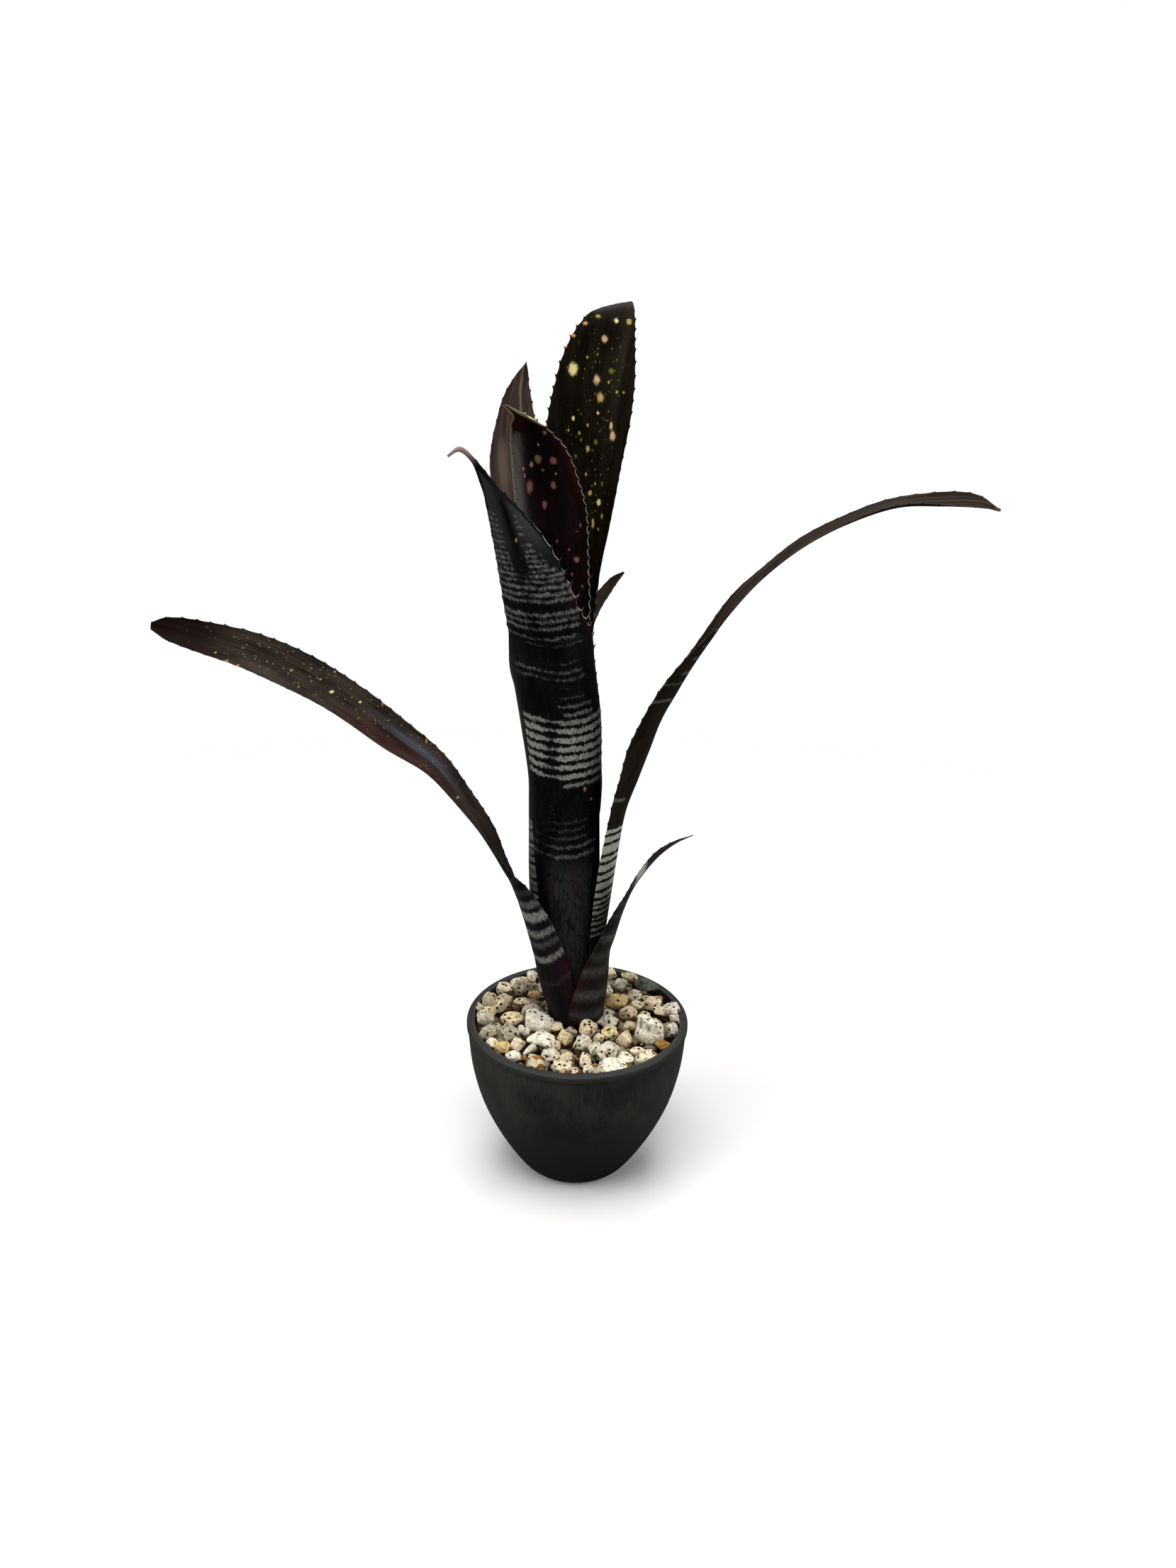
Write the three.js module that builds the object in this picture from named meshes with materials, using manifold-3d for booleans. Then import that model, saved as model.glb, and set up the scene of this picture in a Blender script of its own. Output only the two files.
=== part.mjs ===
// Potted billbergia: a tube-shaped bromeliad in a round pot dressed with pumice stones.
// Millimetres, +Z up, the origin at the centre of the pot's foot. The plant's front is at -Y.
import * as THREE from 'three';
import { mergeVertices } from 'three/addons/utils/BufferGeometryUtils.js';
import Module from 'manifold-3d';

const wasm = await Module();
wasm.setup();

// Driving dimensions of the pot
const RIM_RADIUS = 55;
const RIM_TOP = 80.8;
const RIM_BAND = 7;
const RIM_WALL = 4.2;
const POT_WALL = 3;
const POT_FLOOR = 4;
const POT_SIDES = 48;
const DRAIN_HOLES = 4;
const DRAIN_RADIUS = 4;
const DRAIN_RING = 14;

// Outer outline of the pot's body from the foot to the band, as radius and height
const BODY_OUTLINE = [[23, 0], [27.5, 1.8], [34, 11], [41.8, 25], [48.5, 41], [52.6, 58], [54.2, RIM_TOP - RIM_BAND]];

// Gap between pieces that touch
const SEAT = 0.3;

// Driving dimensions of the potting mix, the stem and the pumice
const MIX_TOP = 63;
const MIX_SIDES = 32;
const STEM_RADIUS = 9.2;
const STEM_FOOT = 22;
const STEM_TOP = 112;
const BED_TOP = 74.5;
const STONE_COUNT = 80;
const STONE_MEAN = 5.8;
const STONE_SPREAD = 1.5;
const STONE_SEED = 41;
const PLANT_HOLE_TOP = 104;
const PLANT_HOLE_PLAY = 1;

// Driving dimensions of the leaves
const LEAF_THICKNESS = 0.7;
const LAYER = 1.4;
const SHEATH_STEP = 11.5;
const BLADE_STEP = 6.8;
const TOOTH_HEIGHT = 1.3;
const TOOTH_LEAN = 0.9;

// Centre line of the tube that the leaf bases form, leaning to the left as it rises, as height and X
const TUBE_LEAN = [[60, -0.4], [84, -1.4], [100, -2.9], [128, -5.2], [155, -6.7], [205, -7.4], [232, -9.7],
  [246, -11.5], [259, -13.8], [272, -15.7], [300, -19.5]];

// Radius of the tube at the layer of the banded front leaf, as height and radius
const TUBE_RADIUS = [[60, 8], [84, 10.6], [100, 13.8], [115, 15.7], [135, 17], [155, 17.4],
  [205, 16.8], [219, 17.2], [232, 18.2], [259, 18.9], [272, 19.8], [290, 20.2]];

const deg = THREE.MathUtils.degToRad;
const vec = (x, y, z) => new THREE.Vector3(x, y, z);

// Small generator of repeatable random numbers between 0 and 1
function randomFrom(seed) {
  let state = seed;
  return () => {
    state = (state * 1664525 + 1013904223) % 4294967296;
    return state / 4294967296;
  };
}

// Value at x on the straight lines between the points of a table of pairs
function along(table, x) {
  if (x <= table[0][0]) return table[0][1];
  for (let i = 1; i < table.length; i += 1) {
    const [x0, y0] = table[i - 1];
    const [x1, y1] = table[i];
    if (x <= x1) return y0 + (y1 - y0) * (x - x0) / (x1 - x0);
  }
  return table[table.length - 1][1];
}

function material(colour, roughness, metalness = 0) {
  return new THREE.MeshStandardMaterial({ color: colour, roughness, metalness });
}

function mesh(name, geometry, look) {
  const piece = new THREE.Mesh(geometry, look);
  piece.name = name;
  return piece;
}

// A closed geometry as a solid for cutting and joining
function solid(geometry) {
  const bare = geometry.clone();
  bare.deleteAttribute('normal');
  bare.deleteAttribute('uv');
  const merged = mergeVertices(bare, 1e-4);
  return new wasm.Manifold(new wasm.Mesh({
    numProp: 3,
    vertProperties: new Float32Array(merged.attributes.position.array),
    triVerts: new Uint32Array(merged.index.array),
  }));
}

// A solid back as a geometry
function geometryOf(body) {
  const { vertProperties, triVerts } = body.getMesh();
  const geometry = new THREE.BufferGeometry();
  geometry.setAttribute('position', new THREE.BufferAttribute(new Float32Array(vertProperties), 3));
  geometry.setIndex(new THREE.BufferAttribute(new Uint32Array(triVerts), 1));
  geometry.computeVertexNormals();
  return geometry;
}

// A solid of revolution about Z from pairs of radius and height, which start and end on the axis
function turned(outline, sides) {
  const lathe = new THREE.LatheGeometry(outline.map(([r, z]) => new THREE.Vector2(r, z)), sides);
  lathe.rotateX(Math.PI / 2);
  return lathe;
}

// Body outline as a smooth curve sampled into pairs of radius and height
function bodyCurve(samples) {
  const curve = new THREE.SplineCurve(BODY_OUTLINE.map(([r, z]) => new THREE.Vector2(r, z)));
  return curve.getPoints(samples).map((p) => [p.x, p.y]);
}

// Radius of the pot's inner wall at a height
function innerRadius(z) {
  const table = bodyCurve(24).map(([r, h]) => [h, r - POT_WALL]);
  return Math.min(along(table, z), RIM_RADIUS - RIM_WALL);
}

function potShell() {
  const bandFoot = RIM_TOP - RIM_BAND;
  const mouth = RIM_RADIUS - RIM_WALL;
  const outside = [[0, 0], ...bodyCurve(9), [RIM_RADIUS, bandFoot + 0.8],
    [RIM_RADIUS, RIM_TOP - 1], [RIM_RADIUS - 0.7, RIM_TOP], [mouth + 0.6, RIM_TOP], [mouth, RIM_TOP - 0.8]];
  const inside = [72, 58, 40, 20, 10].map((z) => [innerRadius(z), z]);
  const floor = [[innerRadius(POT_FLOOR) - 2, POT_FLOOR], [0, POT_FLOOR]];
  let pot = solid(turned([...outside, ...inside, ...floor], POT_SIDES));
  for (let i = 0; i < DRAIN_HOLES; i += 1) {
    const hole = new THREE.CylinderGeometry(DRAIN_RADIUS, DRAIN_RADIUS, POT_FLOOR * 4, 14);
    hole.rotateX(Math.PI / 2);
    const turn = (i + 0.5) * 2 * Math.PI / DRAIN_HOLES;
    hole.translate(DRAIN_RING * Math.cos(turn), DRAIN_RING * Math.sin(turn), 0);
    pot = pot.subtract(solid(hole));
  }
  return geometryOf(pot);
}

// Centre of the leaf tube at a height
function tubeCentre(z) {
  return vec(along(TUBE_LEAN, z), 0, z);
}

function tubeRadius(z) {
  return along(TUBE_RADIUS, z);
}

// A solid of stacked round sections on the tube's centre line, from pairs of height and radius
function stacked(sections, sides) {
  const points = [];
  for (const [z, r] of sections) {
    const centre = tubeCentre(z);
    for (let k = 0; k < sides; k += 1) {
      const turn = 2 * Math.PI * k / sides;
      points.push(centre.x + r * Math.cos(turn), centre.y + r * Math.sin(turn), z);
    }
  }
  const last = sections.length - 1;
  const faces = [];
  for (let j = 0; j < last; j += 1) {
    for (let k = 0; k < sides; k += 1) {
      const a = j * sides + k;
      const b = j * sides + (k + 1) % sides;
      faces.push(a, b, b + sides, a, b + sides, a + sides);
    }
  }
  for (let k = 1; k < sides - 1; k += 1) {
    faces.push(0, k + 1, k);
    faces.push(last * sides, last * sides + k, last * sides + k + 1);
  }
  const geometry = new THREE.BufferGeometry();
  geometry.setAttribute('position', new THREE.BufferAttribute(new Float32Array(points), 3));
  geometry.setIndex(faces);
  return geometry;
}

// The short stem with its clump of roots, standing in the mix
function rootstock() {
  const crown = STEM_TOP - 5;
  return stacked([[STEM_FOOT, STEM_RADIUS - 3], [STEM_FOOT + 4, STEM_RADIUS], [66, STEM_RADIUS],
    [crown, STEM_RADIUS], [STEM_TOP - 2, STEM_RADIUS - 2.2], [STEM_TOP, STEM_RADIUS - 5.5]], 20);
}

// The potting mix, filling the pot below the pumice, with a plain hole for the roots
function pottingMix() {
  const heights = [POT_FLOOR + SEAT, 10, 20, 40, 58, MIX_TOP];
  const wall = heights.map((z, i) => [innerRadius(z) - SEAT - (i === 0 ? 2.4 : 0.25), z]);
  const mix = solid(turned([[0, heights[0]], ...wall, [0, MIX_TOP]], MIX_SIDES));
  const hole = stacked([[STEM_FOOT - SEAT, STEM_RADIUS + SEAT], [MIX_TOP + 5, STEM_RADIUS + SEAT]], 20);
  return geometryOf(mix.subtract(solid(hole)));
}

// The space that the leaf bases take up in the pumice
function plantHole() {
  const heights = [MIX_TOP - 5, 70, 76, 84, 92, 98, PLANT_HOLE_TOP];
  const reach = 2 * LAYER + LEAF_THICKNESS / 2 + PLANT_HOLE_PLAY;
  const flat = Math.cos(Math.PI / 24);
  return solid(stacked(heights.map((z) => [z, (tubeRadius(z) + reach) / flat]), 24));
}

// One stone: a squashed and turned twenty-faced lump with uneven corners
function stone(random) {
  const long = STONE_MEAN + STONE_SPREAD * (random() - 0.3);
  const body = new THREE.IcosahedronGeometry(1, 0);
  body.deleteAttribute('normal');
  body.deleteAttribute('uv');
  const lump = mergeVertices(body, 1e-3);
  const corner = lump.attributes.position;
  for (let i = 0; i < corner.count; i += 1) {
    const swell = 0.92 + 0.2 * random();
    corner.setXYZ(i, corner.getX(i) * swell, corner.getY(i) * swell, corner.getZ(i) * swell);
  }
  lump.scale(long, long * (0.72 + 0.2 * random()), long * (0.62 + 0.16 * random()));
  lump.rotateX(0.5 * (random() - 0.5));
  lump.rotateY(0.5 * (random() - 0.5));
  lump.rotateZ(Math.PI * random());
  return lump;
}

// The pumice dressing: a bed with stones on a sunflower spiral, sunk into it and into each other
function pumice() {
  const random = randomFrom(STONE_SEED);
  const base = MIX_TOP + SEAT;
  const wall = innerRadius(BED_TOP) - SEAT;
  const bed = solid(turned([[0, base], [innerRadius(base) - SEAT - 0.2, base], [wall, BED_TOP], [0, BED_TOP]],
    MIX_SIDES));
  const inner = 15;
  const outer = wall - 3.2;
  let dressing = bed;
  for (let i = 0; i < STONE_COUNT; i += 1) {
    const share = (i + 0.5) / STONE_COUNT;
    const r = Math.sqrt(inner * inner + share * (outer * outer - inner * inner));
    const turn = i * Math.PI * (3 - Math.sqrt(5));
    const lump = stone(random);
    const rise = 1 + 1.8 * random() + 4 * (1 - share);
    lump.translate(r * Math.cos(turn) + 2 * (random() - 0.5), r * Math.sin(turn) + 2 * (random() - 0.5),
      BED_TOP + rise);
    dressing = dressing.add(solid(lump));
  }
  const bore = turned([[0, base - 1], [wall, base - 1], [wall, RIM_TOP + 9], [0, RIM_TOP + 9]], MIX_SIDES);
  const pieces = dressing.intersect(solid(bore)).subtract(plantHole()).decompose();
  return geometryOf(pieces.reduce((a, b) => (a.volume() > b.volume() ? a : b)));
}

// Direction on the level at an angle in degrees, from +X towards +Y
function level(angle) {
  return vec(Math.cos(deg(angle)), Math.sin(deg(angle)), 0);
}

// Rows of a leaf's sheath, which lies on the tube: its two margins and the depth of its hollow side
function sheathRows(leaf) {
  const rows = leaf.sheath;
  const first = rows[0][0];
  const last = rows[rows.length - 1][0];
  const count = Math.round((last - first) / SHEATH_STEP);
  return Array.from({ length: count + 1 }, (_, i) => {
    const z = first + (last - first) * i / count;
    const [, way, toLeft, toRight] = [0, 1, 2, 3].map((k) => along(rows.map((row) => [row[0], row[k]]), z));
    const r = tubeRadius(z) + leaf.layer * LAYER;
    const centre = tubeCentre(z).addScaledVector(level(way), leaf.push);
    return {
      left: centre.clone().addScaledVector(level(way - toLeft), r),
      right: centre.clone().addScaledVector(level(way + toRight), r),
      depth: r * (1 - Math.cos(deg(toLeft + toRight) / 2)),
    };
  });
}

// Rows of a leaf's free blade, from its table
function bladeRows(leaf) {
  return leaf.blade.map(([xl, yl, zl, xr, yr, zr, depth]) => ({
    left: vec(xl, yl, zl), right: vec(xr, yr, zr), depth,
  }));
}

// Cross-sections of a leaf from base to tip. Each is an arc from the left margin to the right one, hollow
// towards the plant: its middle, the half angle and radius of the arc, and the directions of the leaf there.
function leafSections(leaf) {
  const sheath = sheathRows(leaf);
  const rows = [...sheath, ...bladeRows(leaf)];
  const last = rows.length - 1;
  const curve = (points) => new THREE.CatmullRomCurve3(points, false, 'catmullrom', 0.5);
  const leftEdge = curve(rows.map((row) => row.left));
  const rightEdge = curve(rows.map((row) => row.right));
  const hollow = curve(rows.map((row) => vec(row.depth, 0, 0)));
  const marks = [];
  for (let i = 0; i < last; i += 1) {
    const length = rows[i].left.distanceTo(rows[i + 1].left) / 2 + rows[i].right.distanceTo(rows[i + 1].right) / 2;
    const steps = i < sheath.length - 1 ? 1 : Math.max(1, Math.round(length / BLADE_STEP));
    for (let k = 0; k < steps; k += 1) marks.push(i + k / steps);
  }
  marks.push(last);
  return marks.map((mark) => {
    const t = mark / last;
    const left = leftEdge.getPoint(t);
    const right = rightEdge.getPoint(t);
    const across = right.clone().sub(left);
    const half = across.length() / 2;
    across.normalize();
    const forward = leftEdge.getTangent(t).add(rightEdge.getTangent(t)).normalize();
    const inward = forward.clone().cross(across).normalize();
    const depth = Math.max(0.1, hollow.getPoint(t).x);
    const angle = 2 * Math.atan(depth / half);
    return {
      forward,
      across,
      inward,
      angle,
      radius: half / Math.sin(angle),
      keel: left.add(right).multiplyScalar(0.5).addScaledVector(inward, -depth),
      width: 2 * half,
      toothed: mark > sheath.length - 2,
    };
  });
}

// A leaf as a closed blade of even thickness: two faces split alike into triangles, with toothed margins
function leafGeometry(leaf) {
  const sections = leafSections(leaf);
  const columns = leaf.columns;
  const across = columns + 1;
  const points = [];
  const faces = [];
  const put = (p) => {
    points.push(p.x, p.y, p.z);
    return points.length / 3 - 1;
  };
  const edges = [];
  for (const side of [1, -1]) {
    for (const s of sections) {
      for (let k = 0; k <= columns; k += 1) {
        const angle = s.angle * (2 * k / columns - 1);
        const p = s.keel.clone()
          .addScaledVector(s.across, s.radius * Math.sin(angle))
          .addScaledVector(s.inward, s.radius * (1 - Math.cos(angle)));
        const normal = s.inward.clone().multiplyScalar(Math.cos(angle))
          .addScaledVector(s.across, -Math.sin(angle));
        put(p.addScaledVector(normal, side * LEAF_THICKNESS / 2));
        if (side === 1 && (k === 0 || k === columns)) {
          const sign = Math.sign(angle);
          edges.push(s.across.clone().multiplyScalar(sign * Math.cos(angle))
            .addScaledVector(s.inward, sign * Math.sin(angle)));
        }
      }
    }
  }
  const back = sections.length * across;
  const last = sections.length - 1;
  for (let j = 0; j < last; j += 1) {
    for (let k = 0; k < columns; k += 1) {
      const a = j * across + k;
      const b = a + 1;
      const c = b + across;
      const d = a + across;
      faces.push(a, c, b, a, d, c);
      faces.push(back + a, back + b, back + c, back + a, back + c, back + d);
    }
  }
  for (let k = 0; k < columns; k += 1) {
    const end = last * across + k;
    faces.push(k, back + k + 1, back + k, k, k + 1, back + k + 1);
    faces.push(end, back + end + 1, end + 1, end, back + end, back + end + 1);
  }
  const corner = (i) => vec(points[3 * i], points[3 * i + 1], points[3 * i + 2]);
  for (const [edge, k] of [[0, 0], [1, columns]]) {
    for (let j = 0; j < last; j += 1) {
      const low = j * across + k;
      const high = low + across;
      const ring = edge === 0
        ? [low, back + low, back + high, high]
        : [low, high, back + high, back + low];
      const room = Math.min(1, sections[j + 1].width / 6);
      if (sections[j].toothed && j < last - 1) {
        const middle = ring.reduce((sum, i) => sum.add(corner(i)), vec(0, 0, 0)).multiplyScalar(0.25);
        const tip = middle.addScaledVector(edges[2 * j + edge], TOOTH_HEIGHT * room)
          .addScaledVector(sections[j].forward, TOOTH_LEAN * room);
        const apex = put(tip);
        for (let n = 0; n < 4; n += 1) faces.push(ring[n], ring[(n + 1) % 4], apex);
      } else {
        faces.push(ring[0], ring[1], ring[2], ring[0], ring[2], ring[3]);
      }
    }
  }
  const geometry = new THREE.BufferGeometry();
  geometry.setAttribute('position', new THREE.BufferAttribute(new Float32Array(points), 3));
  geometry.setIndex(faces);
  geometry.computeVertexNormals();
  return geometry;
}

// The leaves. layer counts layers outwards from the banded front leaf, and push moves a sheath outwards. A
// sheath row is height, direction and the reach to left and right round the tube, in degrees, with left and
// right as seen from outside. A blade row is the left margin's place, the right margin's and the depth between.
const LEAVES = {
  leaf_left_arching: {
    layer: 1,
    push: 0.3,
    columns: 6,
    colour: 0x2b211b,
    sheath: [[66, 210, 50, 62], [84, 210, 60, 70], [100, 210, 62, 68], [118, 210, 58, 60]],
    blade: [
      [-27, 6, 138, -12, -20, 140, 6], [-30, 0, 153, -23, -22, 159, 4.5], [-34.5, -5, 168, -33.5, -24, 170, 2.6],
      [-40, -10, 185, -45, -28, 190, 2.6], [-50, -12, 203, -56, -31, 206, 3.5], [-61, -15, 221, -67.5, -34, 219, 4],
      [-77, -18, 237, -82, -36, 230, 5], [-94, -21, 252, -99, -38, 243, 4.6], [-115, -24, 267, -118, -40, 255, 4],
      [-136, -27, 277, -138, -42, 265, 3.4], [-157, -32, 283, -157, -44, 272, 2.6],
      [-170, -37, 284, -169, -44, 278, 1.6], [-177, -42, 283.2, -177, -42, 282.6, 0.3]],
  },
  leaf_small_right: {
    layer: 2,
    push: 0.8,
    columns: 4,
    colour: 0x2a2325,
    sheath: [[66, 322, 72, 34], [84, 322, 70, 42], [96, 322, 57, 46], [108, 322, 43, 46], [117, 322, 33, 44]],
    blade: [
      [9, -22, 133, 15.5, 0, 130, 4.5], [15, -24, 147, 19.5, -6, 146, 3], [22, -26, 161, 24.8, -13, 160.5, 1.4],
      [29.5, -28, 173, 30.5, -17, 171.5, 0.9], [36, -29, 181, 35.5, -21, 179.5, 0.8],
      [43, -29, 186.5, 43, -24, 185.8, 0.5],
      [50, -27, 189.8, 50, -27, 189.2, 0.3]],
  },
  leaf_right_arching: {
    layer: 1,
    push: 0,
    columns: 6,
    colour: 0x3a3233,
    sheath: [[74, 350, 45, 45], [95, 350, 49, 50], [130, 350, 44, 50]],
    blade: [
      [7, -17, 153.5, 9.5, 12, 150, 6.8], [9.7, -17, 176, 12, 12, 171, 6.8], [13.2, -18, 197, 16, 10, 190, 6], [17, -20, 213, 21.5, 8, 208, 6.5],
      [20, -22, 228, 27, 6, 224, 7], [26, -24, 243, 32, 4, 240, 6.5], [33, -26, 256, 38.5, 1, 254, 6],
      [41.5, -28, 268, 46, -2, 266, 4.2], [50, -30, 279, 53.5, -5, 278, 3], [63, -34, 295, 63, -11, 295.5, 2.2],
      [74, -37, 307.5, 72, -15, 307, 2], [88.5, -41, 320.5, 86, -20, 320.5, 2],
      [104.5, -46, 330.5, 102, -26, 331, 2.4], [121.5, -51, 337, 119.5, -33, 339, 2.8],
      [137.5, -55, 338, 137, -40, 342, 2.8], [150.5, -57, 337, 150.5, -47, 341, 2],
      [158.5, -55, 335.5, 158.5, -55, 336, 0.3]],
  },
  leaf_small_rear: {
    layer: 1,
    push: 0,
    columns: 4,
    colour: 0x302a24,
    sheath: [[74, 85, 40, 40], [95, 85, 42, 42], [130, 85, 40, 40], [160, 83, 30, 30]],
    blade: [
      [-3, 22, 185, -14, 22, 185, 2.5], [-4, 28, 215, -13, 28, 215, 2.5], [-2, 38, 248, -9, 38, 248, 2],
      [6, 46, 273, 1, 47, 276, 1.5], [13, 55, 284, 10.5, 56, 288.5, 1], [19, 60, 292, 18.4, 60, 292.6, 0.3]],
  },
  leaf_front_banded: {
    layer: 0,
    push: 0,
    columns: 8,
    colour: 0x26282a,
    sheath: [[84, 270, 40, 40], [110, 270, 42, 42], [140, 268, 41, 42], [160, 268, 48, 46],
      [180, 268, 59, 56], [205, 268, 66, 88], [240, 267, 56, 95], [262, 266, 52, 92]],
    blade: [
      [-33.5, -9, 276, 3, -2, 276, 14], [-35, -11, 288, -2.5, -10, 288, 12], [-36.8, -13, 303, -8.5, -14, 303.5, 10],
      [-39, -16, 315.5, -16, -18, 316.5, 7], [-41, -19, 327.5, -25.5, -20, 328, 4.5],
      [-42.5, -21, 336, -34.5, -22, 337, 2.5], [-44.5, -22, 342.5, -40.5, -23, 344, 1.2],
      [-47, -23.5, 348.5, -46.5, -24, 351, 0.6], [-51.5, -26, 352.5, -51.5, -25, 354.5, 0.5],
      [-56, -27, 350.4, -56.4, -27, 351.2, 0.3]],
  },
  leaf_tall_back: {
    layer: -2,
    push: 1.6,
    columns: 6,
    colour: 0x14130d,
    sheath: [[93, 40, 50, 50], [120, 40, 80, 60], [180, 40, 85, 60], [205, 40, 85, 66], [225, 40, 75, 58],
      [262, 42, 38, 56]],
    blade: [
      [4.5, 6, 285, -8, 22, 283, 5], [6.5, 10, 302, -11.5, 24, 300, 6], [9, 13, 315, -14, 26, 313, 7],
      [12.5, 17, 332, -17, 28, 331, 8], [16, 22, 350, -18.5, 29, 349, 8], [18.5, 26, 365, -18.5, 30, 363, 7],
      [20, 31, 380, -15.5, 33, 379, 6], [20.3, 37, 395, -9.8, 38, 393, 4.5], [19.8, 44, 408.5, -1.5, 44, 404.5, 2.3],
      [18.5, 56, 414.5, 3, 55, 411, 1], [16, 70, 411, 9, 69, 410, 0.6], [14, 80, 404, 13.5, 80, 404, 0.3]],
  },
  leaf_back_left: {
    layer: -3.9,
    push: 5.6,
    columns: 6,
    colour: 0x4a3b35,
    sheath: [[94, 168, 50, 50], [120, 168, 58, 74], [200, 168, 58, 76], [225, 168, 56, 74], [262, 164, 54, 66]],
    blade: [
      [-14.5, 18, 285, -34, 1, 286, 8], [-14.5, 19, 301, -36, 2, 302, 7.5], [-15.5, 19, 319, -39, 4, 320, 7],
      [-17, 19, 335, -41, 6, 335, 6.5], [-19.5, 19, 349, -41.8, 9, 348, 6], [-23, 19, 363, -40, 12, 361.5, 4.5],
      [-25, 19, 373, -37, 15, 373, 3], [-26.2, 20, 381, -32.5, 18, 381, 1.5], [-27, 20, 387.6, -27.5, 20, 387, 0.3]],
  },
  leaf_inner_spotted: {
    layer: -3,
    push: 0,
    columns: 6,
    colour: 0x1d0f11,
    sheath: [[106, 85, 60, 60], [140, 85, 84, 84], [200, 84, 92, 92], [240, 84, 84, 84], [262, 84, 76, 76]],
    blade: [
      [2.5, 3, 284, -23, 3, 283, 13], [2, 2, 303, -25, 4, 302, 12], [1, 1, 316, -27, 4, 315, 11],
      [-0.2, 0, 328, -29.5, 4, 327, 10], [-3.2, -1, 339.5, -30.5, 3, 339, 9], [-7.5, -2, 351.5, -31, 1, 350.5, 7.5],
      [-14, -3, 359, -31.5, -1, 358.5, 5.5], [-20, -4, 363.5, -32.5, -2, 363, 3.5],
      [-28, -5, 367.3, -33.5, -4, 365.5, 1.6], [-35, -6, 370.6, -35.5, -6, 369.8, 0.3]],
  },
};

const pottedPlant = new THREE.Group();
const darkPlastic = material(0x34363a, 0.6);
pottedPlant.add(mesh('pot', potShell(), darkPlastic));
pottedPlant.add(mesh('potting_mix', pottingMix(), material(0x3b2c21, 0.95)));
pottedPlant.add(mesh('pumice_top_dressing', pumice(), material(0xc9bfa6, 0.9)));
pottedPlant.add(mesh('rootstock', rootstock(), material(0x4a2a26, 0.8)));
for (const [name, leaf] of Object.entries(LEAVES)) {
  pottedPlant.add(mesh(name, leafGeometry(leaf), material(leaf.colour, 0.45)));
}

export default pottedPlant;
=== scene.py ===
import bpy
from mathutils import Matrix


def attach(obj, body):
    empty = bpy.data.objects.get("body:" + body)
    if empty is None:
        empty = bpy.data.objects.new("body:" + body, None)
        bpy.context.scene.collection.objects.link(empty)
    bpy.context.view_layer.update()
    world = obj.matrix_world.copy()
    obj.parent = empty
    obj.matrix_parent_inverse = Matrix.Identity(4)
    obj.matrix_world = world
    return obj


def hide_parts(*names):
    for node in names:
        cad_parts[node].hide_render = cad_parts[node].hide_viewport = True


bl_info = {
    "name": "Potted billbergia",
    "version": (1, 0, 0),
    "blender": (4, 5, 0),
    "location": "View3D > Sidebar > Potted billbergia",
    "description": "Builds the finished look of a potted billbergia around its packed solids",
    "category": "Object",
}

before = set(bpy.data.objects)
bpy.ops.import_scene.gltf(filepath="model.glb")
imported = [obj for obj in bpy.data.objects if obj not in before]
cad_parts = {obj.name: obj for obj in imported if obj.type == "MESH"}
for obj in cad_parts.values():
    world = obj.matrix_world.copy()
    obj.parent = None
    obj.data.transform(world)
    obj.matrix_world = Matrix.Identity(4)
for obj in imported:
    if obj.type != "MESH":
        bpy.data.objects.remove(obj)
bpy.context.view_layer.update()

import math
from types import SimpleNamespace

import bpy
import numpy as np
from mathutils import Matrix, Vector
from mathutils.bvhtree import BVHTree

MM = 0.001

# Pot: the outer outline of its body from the foot to the band, as radius and height in mm
BODY_OUTLINE = [(23, 0), (27.5, 1.8), (34, 11), (41.8, 25), (48.5, 41), (52.6, 58), (54.2, 73.8)]
RIM_RADIUS = 55.0
RIM_TOP = 80.8
RIM_BAND = 7.0
RIM_LIP = 1.3
RIM_INNER_LIP = 0.8
MOUTH_RADIUS = 50.8
POT_WALL = 3.0
POT_FLOOR = 4.0
DRAIN_RING = 14.0
DRAIN_RADIUS = 4.0
DRAIN_HOLES = 4
SHARP_FROM = 38

# Pumice: the bed's foot, its top and its reach, the wall that the pebbles keep inside of, and the room that
# the leaf bases take up among the upper pebbles, the lower ones and the grains. Shown pebbles nearer to the
# camera than the front edge make a piece of their own.
BED_FOOT = 63.3
BED_TOP = 74.5
BED_INNER = 12.9
BED_OUTER = 50.45
PEBBLE_WALL = 50.4
PLANT_X = -1.2
UPPER_ROOM = 13.9
LOWER_ROOM = 12.4
GRAIN_ROOM = 13.6
FRONT_EDGE = -6

# Heap of shown pebbles, in mm: the heights at which one may lie, the height of the heap's top, how far that
# falls towards the camera by y and towards the wall by radius, the y from which it doesn't fall towards the
# wall, its reach, the room that the plant takes up, and the size of a pixel of the enlarged heap
HEAP_HEIGHTS = (75.5, 88, 0.25)
HEAP_TOP = 83.0
HEAP_FRONT_FALL = [(-42, 5.5), (-20, 0)]
HEAP_WALL_FALL = [(34, 0), (46, 1.5)]
HEAP_FULL_FROM = 15
HEAP_REACH = 50.2
HEAP_PLANT_ROOM = 13.8
HEAP_SCALE = 0.0864

# Leaf tube: its lean to the left and its radius at the banded front leaf, by height
TUBE_LEAN = [(60, -0.4), (84, -1.4), (100, -2.9), (128, -5.2), (155, -6.7), (205, -7.4), (232, -9.7),
             (246, -11.5), (259, -13.8), (272, -15.7), (300, -19.5)]
TUBE_RADIUS = [(60, 8), (84, 10.6), (100, 13.8), (115, 15.7), (135, 17), (155, 17.4),
               (205, 16.8), (219, 17.2), (232, 18.2), (259, 18.9), (272, 19.8), (290, 20.2)]
LAYER = 1.4
SHEATH_STEP = 11.5

# Teeth: where the two margins' rows of teeth start in their slow wandering
LEFT_SEED = 1.0
RIGHT_SEED = 4.0

# Distance to a hairline, in mm, that stands for a margin without one
UNLINED = 9


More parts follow.
